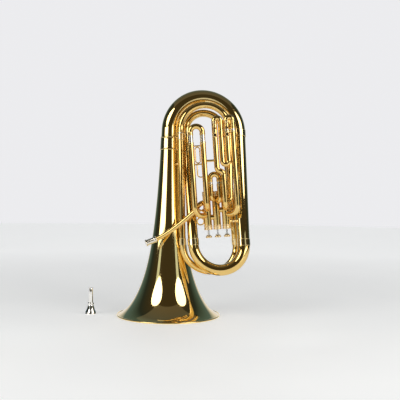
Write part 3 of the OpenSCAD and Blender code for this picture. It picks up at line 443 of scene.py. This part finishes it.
# Valve casings, knuckles and caps
# Three brass cylinders bored to size, joined by short knuckles of tube. A turned cap of satin brass with a
# knurled band screws over each end: the top caps let the stems through, and the bottom caps have a vent.
valves = (1, 2, 3)
middle_valve = Vector((171, -75, 315)) * mm
valve_lean = math.radians(-4.4)
valve_row = Matrix.Translation(middle_valve) @ Matrix.Rotation(valve_lean, 4, "Y")
valve_pitch = 31.6 * mm
casing_h = 127 * mm
casing_r = 13.5 * mm
cap_r = 14.4 * mm
cap_h = 13 * mm
cap_end = 3 * mm
cap_fit = 0.05 * mm
stem_hole_r = 3.5 * mm
vent_r = 2 * mm
knurl_low, knurl_high = 8.1 * mm, 11.1 * mm
knurl_gap = 0.2 * mm
knurl_rise = 0.3 * mm
satin_brass = polished("satin_brass", (0.93, 0.72, 0.41), (0.89, 0.66, 0.34), (0.40, 0.26, 0.12),
                       gloss=0.30, smears=0.08, buffing=0.05, wave=0.0001, lacquer=0.2)


def valve(number, x=0.0, y=0.0, z=0.0):
    """Frame of a valve, moved within it: Z runs up the casing from its button end."""
    return valve_row @ Matrix.Translation(((number - 2) * valve_pitch + x, y, z))


def valve_cap(hole_r):
    """Turned cap, its end plate below zero and its skirt above, with a knurled band."""
    edge = 0.5 * mm
    neck_r = cap_r - edge
    bore_r = casing_r + cap_fit
    end_plate = [(hole_r, edge - cap_end), (hole_r + edge, -cap_end), (8.2 * mm, -cap_end),
                 (8.8 * mm, -2.6 * mm), (9.4 * mm, -cap_end), (12.6 * mm, -cap_end),
                 (13.6 * mm, -2.7 * mm), (cap_r, -1.9 * mm)]
    neck = [(cap_r + 0.2 * mm, -0.6 * mm), (cap_r, 0.7 * mm), (neck_r, 1.2 * mm), (neck_r, knurl_low - edge)]
    band = [(cap_r, knurl_low), (cap_r, (knurl_low + knurl_high) / 2), (cap_r, knurl_high)]
    skirt_end = [(neck_r, knurl_high + edge), (neck_r, cap_h), (bore_r, cap_h), (bore_r, 0), (hole_r, 0)]
    cap = spun(end_plate + neck + band + skirt_end, closed=True, steps=90)
    knurls = []
    for face in cap.faces:
        middle = face.calc_center_median()
        if knurl_low < middle.z < knurl_high and middle.xy.length > neck_r + edge / 2:
            knurls.append(face)
    bmesh.ops.inset_individual(cap, faces=knurls, thickness=knurl_gap, depth=knurl_rise)
    return cap


for number in valves:
    finished(f"valve_casing_{number}", shade_deepened_lacquer)
    cap = valve_cap(stem_hole_r)
    cap.transform(valve(number))
    made(f"top_cap_turned_{number}", cap, satin_brass, "horn", "trim_brass", f"top_cap_{number}", sharp=25)
bottom_caps = bmesh.new()
for number in valves:
    joined(bottom_caps, valve_cap(vent_r), valve(number, z=casing_h) @ Matrix.Rotation(math.pi, 4, "X"))
made("bottom_caps_turned", bottom_caps, satin_brass, "horn", "trim_brass", "bottom_caps", sharp=25)
finished("valve_crossovers", shade_deepened_lacquer)

# Pistons, stems, springs, finger buttons and felts
# Each piston is a plated shell lapped to its casing, pushed towards the buttons by a coil spring. Its steel
# stem carries a turned button of satin brass. A wool felt washer between button and cap softens the stop.
spring_r = 6.85 * mm
spring_wire_r = 0.65 * mm
spring_turns = 8
spring_low_z = 77.1 * mm
spring_slack = 0.1 * mm
coil_steps = 24
button_z = -22.7 * mm
finger_outline = [(0, 0), (5.6, 0), (6.2, -0.25), (6.8, -0.9), (8.6, -1.5), (10.0, -2.3), (10.75, -3.4),
                  (10.93, -4.6), (10.85, -5.8), (10.4, -6.9), (9.8, -7.6), (9.0, -8.0), (8.2, -7.86),
                  (6.0, -7.5), (3.0, -7.26), (0, -7.2)]
felt_outline = [(3.05, 0.02), (7.6, 0.02), (7.92, 0.35), (8.0, 1.2), (7.9, 2.05), (7.5, 2.42), (5.5, 2.48),
                (3.5, 2.42), (3.1, 2.1)]
felt_edge_r = 6 * mm
felt_lobes = 5
felt_uneven = 0.006
lapped_steel = polished("lapped_steel", (0.62, 0.62, 0.63), (0.55, 0.55, 0.57), (0.20, 0.18, 0.16),
                        gloss=0.16, smears=0.08, buffing=0.12, wave=0.0001, lacquer=0.0)


def ramped(tree, amount, *stops):
    """Colour that follows an amount through rising stops of (amount, colour)."""
    ramp = tree.nodes.new("ShaderNodeValToRGB")
    marks = ramp.color_ramp.elements
    for k, (level, colour) in enumerate(stops):
        if k >= len(marks):
            marks.new(level)
        marks[k].position = level
        marks[k].color = colour
    tree.links.new(amount, ramp.inputs["Fac"])
    return ramp.outputs["Color"]


def wool_felt():
    """Pressed wool: pale, cloudy, matted into short fibres."""
    material = bpy.data.materials.new("wool_felt")
    material.use_nodes = True
    tree = material.node_tree
    add, link = tree.nodes.new, tree.links.new
    shader = tree.nodes["Principled BSDF"]
    shader.inputs["Roughness"].default_value = 0.95
    shader.inputs["Sheen Weight"].default_value = 0.4
    place, bump = add("ShaderNodeTexCoord"), add("ShaderNodeBump")
    fibres, clouds = add("ShaderNodeTexNoise"), add("ShaderNodeTexNoise")
    fibres.inputs["Scale"].default_value = 2200
    fibres.inputs["Detail"].default_value = 4
    fibres.inputs["Distortion"].default_value = 1.5
    clouds.inputs["Scale"].default_value = 260
    bump.inputs["Distance"].default_value = 0.0003
    for noise in (fibres, clouds):
        link(place.outputs["Object"], noise.inputs["Vector"])
    tone = ramped(tree, clouds.outputs["Fac"], (0.3, (0.52, 0.47, 0.37, 1)), (0.7, (0.80, 0.76, 0.66, 1)))
    link(tone, shader.inputs["Base Color"])
    link(fibres.outputs["Fac"], bump.inputs["Height"])
    link(bump.outputs["Normal"], shader.inputs["Normal"])
    return material


def in_mm(outline):
    """Outline that is written in millimetres."""
    return [(r * mm, z * mm) for r, z in outline]


felt_wool = wool_felt()
coil_low, coil_high = spring_low_z + spring_wire_r, casing_h - spring_slack - spring_wire_r
climb = (coil_high - coil_low) / (2 * math.pi * spring_turns)
coil = []
for k in range(spring_turns * coil_steps + 1):
    turn = 2 * math.pi * k / coil_steps
    x, y = spring_r * math.cos(turn), spring_r * math.sin(turn)
    coil.append((Vector((x, y, coil_low + climb * turn)), Vector((-y, x, climb)), spring_wire_r))
for number in valves:
    for node in (f"piston_{number}", f"stem_{number}"):
        finished(node, lapped_steel)
    spring = drawn(coil, straight_up, sides=10)
    bmesh.ops.holes_fill(spring, edges=[edge for edge in spring.edges if edge.is_boundary])
    spring.transform(valve(number))
    spring = made(f"valve_spring_coil_{number}", spring, lapped_steel, "horn", "steel",
                  f"valve_spring_{number}")
    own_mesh(spring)
    button = spun(in_mm(finger_outline), steps=72)
    button.transform(valve(number, z=button_z))
    made(f"finger_button_turned_{number}", button, satin_brass, f"valve_{number}", "lacquered_brass",
         f"finger_button_{number}", sharp=60)
    washer = spun(in_mm(felt_outline), closed=True, steps=56)
    # Pressed felt is never quite round
    for vert in washer.verts:
        if vert.co.xy.length > felt_edge_r:
            turn = math.atan2(vert.co.y, vert.co.x)
            vert.co.xy *= 1 - felt_uneven * (1 + math.sin(felt_lobes * turn + number))
    washer.transform(valve(number, z=button_z))
    made(f"felt_washer_{number}", washer, felt_wool, f"valve_{number}", "felt", f"button_felt_{number}",
         sharp=60)

# Valve slides
# Outer tubes of drawn brass stand on elbows soldered into the casings, with a stiffening ring round each
# mouth. The slides are nickel-silver tubes under brass bows, fitted to run in the outer tubes.
leg_r = 9.45 * mm
leg_pitch = 20.6 * mm
slide_sheet = 0.5 * mm
long_front = -38.5 * mm
second_front = -18.8 * mm
half_pitch = valve_pitch / 2
valve_up = valve_row.to_3x3() @ straight_up
ring_fit = 0.05 * mm
leg_ring_h = 8 * mm
leg_ring_wall = 0.55 * mm
tuning_show = 14 * mm
mouths = bmesh.new()
# Places of the two legs and of the bow's joint, the length of inner tube that shows, and the bow's sockets
for name, number, left, right, y, top, show, socket_h in (
        ("first", 1, -2 * leg_pitch, 0, long_front, 334 * mm, 34 * mm, 10 * mm),
        ("second", 2, -half_pitch, half_pitch, second_front, 172 * mm, 18 * mm, 10 * mm),
        ("third", 3, leg_pitch, 2 * leg_pitch, long_front, 368 * mm, 34 * mm, 30 * mm)):
    joint_left, joint_right = (valve(number, x, y, top).translation for x in (left, right))
    bow = slide_bow(joint_left, joint_right, valve_up, leg_r, socket_h, slide_sheet)
    made(f"{name}_slide_bow", bow, shade_deepened_lacquer, f"{name}_slide", "lacquered_brass", f"slide_{number}_bow")
    finished(f"slide_{number}_inner_tubes", nickel_silver)
    finished(f"slide_{number}_outer_tubes", shade_deepened_lacquer)
    for x in (left, right):
        ring = sleeve(leg_ring_h, leg_r + ring_fit, leg_ring_wall)
        joined(mouths, ring, valve(number, x, y, top - show - leg_ring_h))
for joint in (tuning_left, tuning_right):
    ferrule = sleeve(ferrule_h, tuning_leg_r + ring_fit, ferrule_wall)
    joined(mouths, ferrule, seat(joint - tuning_up * (tuning_show + ferrule_h), tuning_up, front))
made("slide_mouth_rings", mouths, trim_lacquer, "horn", "trim_brass", "slide_ferrules")

# Leadpipe and mouthpiece receiver
# A tapered brass pipe, bent by hand over a mandrel, passes in front of the bell to the first valve. The
# receiver is a turned nickel-silver socket soldered over its narrow end, with a bead round its mouth.
receiver_rise = math.radians(22)
pipe_slope = math.radians(43)
receiver_mouth = Vector((-76, -92, 262)) * mm
receiver_along = Vector((math.cos(receiver_rise), 0, math.sin(receiver_rise)))
pipe_seat = 36 * mm
pipe_start = receiver_mouth + receiver_along * pipe_seat
pipe_bend = Vector((88, -92, 371)) * mm
pipe_bend_along = Vector((math.cos(pipe_slope), 0, math.sin(pipe_slope)))
# The pipe stops where its sides meet the casing
pipe_end = valve(1, x=-10 * mm, z=92 * mm).translation
pipe_end_along = valve_row.to_3x3() @ Vector((1, 0, 0))
pipe_small_r = 7.5 * mm
pipe_large_r = 9 * mm
pipe_steps = 30
start_pull, bend_pull, turn_pull, end_pull = 40 * mm, 50 * mm, 16 * mm, 19 * mm
receiver_outline = arc(9.6, 2.4, 2.4, 2.4, range(-90, 61, 15)) + [
    (10.3, 5.4), (10.05, 6.4), (10, 8), (10, 30), (10.1, 33), (10.4, 34.4), (11, 35.2), (11, 36.6),
    (10.7, 37), (11, 37.4), (11, 39), (10.5, 39.8), (9.8, 40), (7.9, 40), (7.9, 36), (6.7, 36), (6.7, 28.8),
    (7.9, 28.8), (7.9, 0.4), (8.3, 0)]


def bent_pipe(a, b, c, d, share):
    """Point and direction on a bend with its two ends a and d and their handles b and c."""
    rest = 1 - share
    point = a * rest ** 3 + b * 3 * rest ** 2 * share + c * 3 * rest * share ** 2 + d * share ** 3
    along = (b - a) * rest ** 2 + (c - b) * 2 * rest * share + (d - c) * share ** 2
    return point, along


rising = (pipe_start, pipe_start + receiver_along * start_pull,
          pipe_bend - pipe_bend_along * bend_pull, pipe_bend)
turning = (pipe_bend, pipe_bend + pipe_bend_along * turn_pull,
           pipe_end - pipe_end_along * end_pull, pipe_end)
pipe_path = [bent_pipe(*bend, k / pipe_steps) for bend in (rising, turning) for k in range(pipe_steps)]
pipe_path.append(bent_pipe(*turning, 1.0))
pipe_taper = (pipe_large_r - pipe_small_r) / (len(pipe_path) - 1)
pipe_stations = [(point, along, pipe_small_r + pipe_taper * k) for k, (point, along) in enumerate(pipe_path)]
leadpipe = walled(drawn(pipe_stations, front), tube_sheet)
made("leadpipe_tube", leadpipe, shade_deepened_lacquer, "horn", "lacquered_brass", "leadpipe")
receiver = spun(in_mm(receiver_outline), closed=True, steps=80)
receiver.transform(seat(receiver_mouth, receiver_along, front))
made("receiver_socket", receiver, nickel_silver, "horn", "nickel_trim", "mouthpiece_receiver", sharp=30)

# Stays, finger ring and thumb ring
# Brass rods soldered between the tubes hold them apart. Those at the bell and the casings stand on round
# feet and have a turned bead at the middle. The finger ring, its hook and the thumb ring are bent from wire.
stay_r = 3 * mm
bead_seat_r = stay_r - 0.4 * mm
bell_stay_heights = (330 * mm, 540 * mm)
left_casing = valve(1, z=64 * mm).translation
right_casing = valve(3, z=24 * mm).translation
inner_stay_r = inner_low_r - 2 * mm
bead_outline = [(0, -4.6), (1.2, -4.6), (1.6, -4.2), (1.7, -3.6), (1.2, -3.2), (1.9, -2.6), (2.4, -1.5),
                (2.6, 0), (2.4, 1.5), (1.9, 2.6), (1.2, 3.2), (1.7, 3.6), (1.6, 4.2), (1.2, 4.6), (0, 4.6)]
for node in ("bell_stays", "valve_stays", "slide_stays", "thumb_ring"):
    finished(node, shade_deepened_lacquer)


def on_line(p, q, z):
    """Point of a straight tube at a height."""
    return p.lerp(q, (z - p.z) / (q.z - p.z))


def clear_middle(p, q, r_p, r_q):
    """Middle of the rod that shows between two tubes, and its direction."""
    along = (q - p).normalized()
    return (p + along * r_p + q - along * r_q) / 2, along


stay_ends = [(Vector((0, 0, z)), on_line(small_bow_left, tuning_left, z), bell_radius(z), tuning_leg_r)
             for z in bell_stay_heights]
stay_ends += [
    (left_casing, on_line(top_bow_left, inner_bow_left, left_casing.z), casing_r, inner_stay_r),
    (right_casing, on_line(top_bow_right, bottom_bow_right, right_casing.z), casing_r, outer_low_r)]
stay_beads = bmesh.new()
for p, q, r_p, r_q in stay_ends:
    middle, along = clear_middle(p, q, r_p, r_q)
    turned = spun([(bead_seat_r + r if r else 0, z) for r, z in in_mm(bead_outline)], steps=40)
    joined(stay_beads, turned, seat(middle, along, straight_up))
made("stay_beads", stay_beads, trim_lacquer, "horn", "lacquered_brass", sharp=50)

# Water keys
# A brass lever turns on a pin between two ears of its saddle and holds a cork against a nipple on the tube.
# Pressing the plate at the lever's foot lifts the cork and lets the water out.
nipple_z = 362 * mm
pivot = Vector((0, -16.45, -20)) * mm
cork_seat = Vector((0, -13.65, 0)) * mm
cup_overlap = 0.6 * mm
cup_seat = cork_seat + front * cup_overlap
lever_size, lever_middle = Vector((5, 2, 40)) * mm, Vector((0, -17.45, -22)) * mm
foot_size, foot_middle = Vector((10, 2, 12)) * mm, Vector((0, -17.45, -44)) * mm
hinge_size = Vector((4.6, 4, 4)) * mm
cup_outline = [(0, 4.5), (2.2, 4.4), (4.2, 3.9), (5.6, 3.0), (6.3, 1.9), (6.5, 0.9), (6.5, 0.1), (6.35, 0),
               (5.6, 0), (5.5, 0.15), (5.5, 1.85), (0, 1.85)]
cork_outline = [(0, 0), (5.1, 0), (5.4, 0.25), (5.45, 0.7), (5.45, 2.3), (0, 2.3)]
pin_outline = [(0, -5.2), (1.1, -5.15), (1.7, -4.9), (1.8, -4.6), (1.2, -4.55), (1.2, 4.55), (1.8, 4.6),
               (1.7, 4.9), (1.1, 5.15), (0, 5.2)]
outwards = Matrix.Rotation(math.pi / 2, 4, "X")
crossways = Matrix.Rotation(math.pi / 2, 4, "Y")


def cork_bark():
    """Fine cork: warm brown, with darker flecks and small pores."""
    material = bpy.data.materials.new("cork_bark")
    material.use_nodes = True
    tree = material.node_tree
    add, link = tree.nodes.new, tree.links.new
    shader = tree.nodes["Principled BSDF"]
    shader.inputs["Roughness"].default_value = 0.85
    place, bump = add("ShaderNodeTexCoord"), add("ShaderNodeBump")
    flecks, pores = add("ShaderNodeTexNoise"), add("ShaderNodeTexVoronoi")
    flecks.inputs["Scale"].default_value = 900
    flecks.inputs["Detail"].default_value = 5
    pores.inputs["Scale"].default_value = 1400
    bump.inputs["Distance"].default_value = 0.0002
    for pattern in (flecks, pores):
        link(place.outputs["Object"], pattern.inputs["Vector"])
    tone = ramped(tree, flecks.outputs["Fac"], (0.35, (0.26, 0.15, 0.07, 1)), (0.62, (0.70, 0.50, 0.31, 1)))
    link(tone, shader.inputs["Base Color"])
    link(pores.outputs["Distance"], bump.inputs["Height"])
    link(bump.outputs["Normal"], shader.inputs["Normal"])
    return material


def plate(size, centre, edge):
    """Flat bar with rounded edges."""
    bar = bmesh.new()
    bmesh.ops.create_cube(bar, size=1.0, matrix=Matrix.Translation(centre) @ Matrix.Diagonal((*size, 1)))
    bmesh.ops.bevel(bar, geom=bar.edges[:], offset=edge, affect="EDGES", segments=3, profile=0.5, material=-1)
    return bar


cork = cork_bark()
for key, x, body in ((1, -leg_pitch, "fixed_crook_key"), (2, leg_pitch, "slide_3_key")):
    nipple = valve(3, x, long_front, nipple_z)
    lever = plate(lever_size, lever_middle, edge=0.55 * mm)
    joined(lever, plate(foot_size, foot_middle, edge=0.8 * mm))
    joined(lever, plate(hinge_size, pivot, edge=0.7 * mm))
    joined(lever, spun(in_mm(cup_outline), steps=48), Matrix.Translation(cup_seat) @ outwards)
    joined(lever, spun(in_mm(pin_outline), steps=24), Matrix.Translation(pivot) @ crossways)
    lever.transform(nipple)
    made(f"water_key_lever_{key}", lever, trim_lacquer, body, "lacquered_brass", f"water_key_{key}", sharp=35)
    pad = spun(in_mm(cork_outline), steps=48)
    pad.transform(nipple @ Matrix.Translation(cork_seat) @ outwards)
    made(f"cork_pad_{key}", pad, cork, body, "cork", f"water_key_cork_{key}", sharp=50)
    finished(f"water_key_mount_{key}", shade_deepened_lacquer)

# Mouthpiece
# Turned from brass bar and silver plated: a rounded rim, a deep cup, a collar, and a tapered shank that fits
# the receiver. It stands loose on its rim beside the horn.
mouthpiece_x = -278 * mm
cup_rim = arc(18.75, 2.75, 2.75, 2.75, range(-180, 61, 12))
cup_back = [(19.9, 7.2), (19.2, 9), (17.6, 12), (15.6, 16), (13.9, 20.5), (12.4, 25.5), (11.3, 30),
            (10.6, 33.2)]
collar = [(10.6, 34.4), (11.2, 35), (11.9, 35.6), (12.1, 36.6), (12.1, 39), (11.9, 40), (11.2, 40.7),
          (9.6, 41.3)]
shank = [(9.1, 42.4), (9.0, 44), (8.5, 58), (7.9, 75), (7.25, 93), (7.1, 93.7), (6.8, 94), (6.2, 94),
         (6.0, 93.6)]
bore = [(5.2, 68), (4.1, 44)]
bowl = arc(4.1, 2.75, 11.9, 29.25, range(90, 2, -4))
silver_plate = polished("silver_plate", (0.93, 0.92, 0.89), (0.88, 0.86, 0.81), (0.40, 0.35, 0.28),
                        gloss=0.05, smears=0.08, buffing=0.04, wave=0.0, lacquer=0.0)
mouthpiece = spun(in_mm(cup_rim + cup_back + collar + shank + bore + bowl), closed=True, steps=120)
mouthpiece.transform(Matrix.Translation((mouthpiece_x, 0, 0)))
made("mouthpiece_turned", mouthpiece, silver_plate, "loose_mouthpiece", "silver", "mouthpiece", sharp=30)

# Studio
# A pale floor and a pale wall behind the horn, and a dim room in front of it. A broad soft panel hangs high
# on each side of the camera, with a far window and a weak strip below it, under a faintly lit ceiling.
floor_r = 9.0
floor_pale, floor_paler = (0.80, 0.80, 0.81, 1), (0.86, 0.86, 0.86, 1)
floor_far = 3.0
floor_glow_near, floor_glow_far = 0.47, 0.80
floor_mirrored_glow = 0.6
floor_mesh = bmesh.new()
bmesh.ops.create_circle(floor_mesh, cap_ends=True, segments=96, radius=floor_r)
floor_paint = bpy.data.materials.new("floor_paint")
floor_paint.use_nodes = True
tree = floor_paint.node_tree
add, link = tree.nodes.new, tree.links.new
paint = tree.nodes["Principled BSDF"]
paint.inputs["Roughness"].default_value = 0.6
paint.inputs["Specular IOR Level"].default_value = 0.2
spot, speckle = add("ShaderNodeTexCoord"), add("ShaderNodeTexNoise")
speckle.inputs["Scale"].default_value = 3.0
link(spot.outputs["Object"], speckle.inputs["Vector"])
shade = blended(tree, speckle.outputs["Fac"], floor_pale, floor_paler)
link(shade, paint.inputs["Base Color"])
link(shade, paint.inputs["Emission Color"])
# The camera sees the floor as pale as the wall, and the polished metal sees it as a lit table
ray, distance, fill = add("ShaderNodeLightPath"), add("ShaderNodeVectorMath"), add("ShaderNodeMapRange")
distance.operation = "LENGTH"
fill.inputs["From Max"].default_value = floor_far
fill.inputs["To Min"].default_value = floor_glow_near
fill.inputs["To Max"].default_value = floor_glow_far
link(spot.outputs["Object"], distance.inputs[0])
link(distance.outputs["Value"], fill.inputs["Value"])
mirrored = figured(tree, "MULTIPLY", ray.outputs["Is Glossy Ray"], floor_mirrored_glow)
glow = figured(tree, "MULTIPLY_ADD", ray.outputs["Is Camera Ray"], fill.outputs["Result"], mirrored)
link(glow, paint.inputs["Emission Strength"])
floor_data = bpy.data.meshes.new("studio_floor")
floor_mesh.to_mesh(floor_data)
floor_mesh.free()
floor_data.materials.append(floor_paint)
floor = bpy.data.objects.new("studio_floor", floor_data)
bpy.context.scene.collection.objects.link(floor)

pale_wall = (0.84, 0.84, 0.86, 1)
wall_edge = (0.09, 0.16, 0.19, 1)
side_wall = (0.022, 0.032, 0.034, 1)
dim_room = (0.050, 0.040, 0.022, 1)
window_middle, window_aside = math.radians(-2), math.radians(48)
window_edge, window_full = math.radians(24), math.radians(17)
window_light = (4.0, 3.95, 3.8, 1)
window_rise = ((0.0, 0.05), (0.06, 0.10), (0.10, 1.0), (0.184, 1.0), (0.196, 0.0))
room = bpy.data.worlds.new("studio_room")
bpy.context.scene.world = room
room.use_nodes = True
tree = room.node_tree
add, link = tree.nodes.new, tree.links.new
sight, toward, backwards = add("ShaderNodeTexCoord"), add("ShaderNodeSeparateXYZ"), add("ShaderNodeMapRange")
backwards.inputs["From Min"].default_value = -1.0
link(sight.outputs["Generated"], toward.inputs["Vector"])
link(toward.outputs["Y"], backwards.inputs["Value"])
walls = ramped(tree, backwards.outputs["Result"],
               (0.30, dim_room), (0.62, side_wall), (0.90, wall_edge), (0.965, pale_wall))
# A far window shows low on each side of the camera
bearing = figured(tree, "ARCTAN2", toward.outputs["X"], figured(tree, "MULTIPLY", toward.outputs["Y"], -1.0))
aside = figured(tree, "ABSOLUTE", figured(tree, "SUBTRACT", bearing, window_middle))
aside = figured(tree, "ABSOLUTE", figured(tree, "SUBTRACT", aside, window_aside))
pane = add("ShaderNodeMapRange")
pane.inputs["From Min"].default_value = window_edge
pane.inputs["From Max"].default_value = window_full
link(aside, pane.inputs["Value"])
sill = ramped(tree, toward.outputs["Z"], *((level, (light, light, light, 1)) for level, light in window_rise))
lit = blended(tree, figured(tree, "MULTIPLY", pane.outputs["Result"], sill), walls, window_light)
# The camera sees the same pale wall all round
ray = add("ShaderNodeLightPath")
backdrop = blended(tree, ray.outputs["Is Camera Ray"], lit, pale_wall)
link(backdrop, tree.nodes["Background"].inputs["Color"])


def soft_panel(name, shape, place, turn, wide, tall, brightness, tint):
    """Flat lamp of even brightness, turned from facing straight down."""
    lamp = bpy.data.lights.new(name, "AREA")
    lamp.shape = shape
    lamp.size, lamp.size_y = wide, tall
    lamp.energy = brightness * math.pi * wide * tall * (math.pi / 4 if shape == "ELLIPSE" else 1)
    lamp.color = tint
    stand = bpy.data.objects.new(name, lamp)
    stand.location = place
    stand.rotation_euler = [math.radians(angle) for angle in turn]
    stand.visible_camera = False
    bpy.context.scene.collection.objects.link(stand)


daylight, shade_light = (1.0, 0.985, 0.95), (0.82, 0.96, 1.0)
# Bearing from the camera's side, distance, height of the middle, lean, width, height, brightness and tint
for name, shape, turned, away, z, lean, wide, tall, brightness, tint in (
        ("panel_left", "ELLIPSE", -45, 2.0, 1.55, -36, 1.46, 1.05, 3.5, daylight),
        ("panel_right", "ELLIPSE", 52, 2.0, 1.55, -36, 1.46, 1.05, 3.5, daylight),
        ("strip_left", "RECTANGLE", -49, 0.70, 0.30, 0, 0.15, 0.30, 0.75, shade_light),
        ("strip_right", "RECTANGLE", 44, 0.70, 0.30, 0, 0.15, 0.30, 0.75, shade_light)):
    side = math.radians(turned)
    place = (away * math.sin(side), -away * math.cos(side), z)
    soft_panel(name, shape, place, (90 + lean, 0, turned), wide, tall, brightness, tint)
ceiling_side = 4.0
soft_panel("ceiling", "RECTANGLE", place=(0, 0, 3.0), turn=(0, 0, 0), wide=ceiling_side, tall=ceiling_side,
           brightness=0.07, tint=daylight)

eye_place = (0.109, -2.39, 0.413)
eye_turn = (90, -0.65, 0)
eye = bpy.data.cameras.new("eye")
eye.sensor_width = 36
eye.lens = 60
camera = bpy.data.objects.new("camera", eye)
camera.location = eye_place
camera.rotation_euler = [math.radians(angle) for angle in eye_turn]
bpy.context.scene.collection.objects.link(camera)
bpy.context.scene.camera = camera
bpy.context.scene.view_settings.view_transform = "Standard"
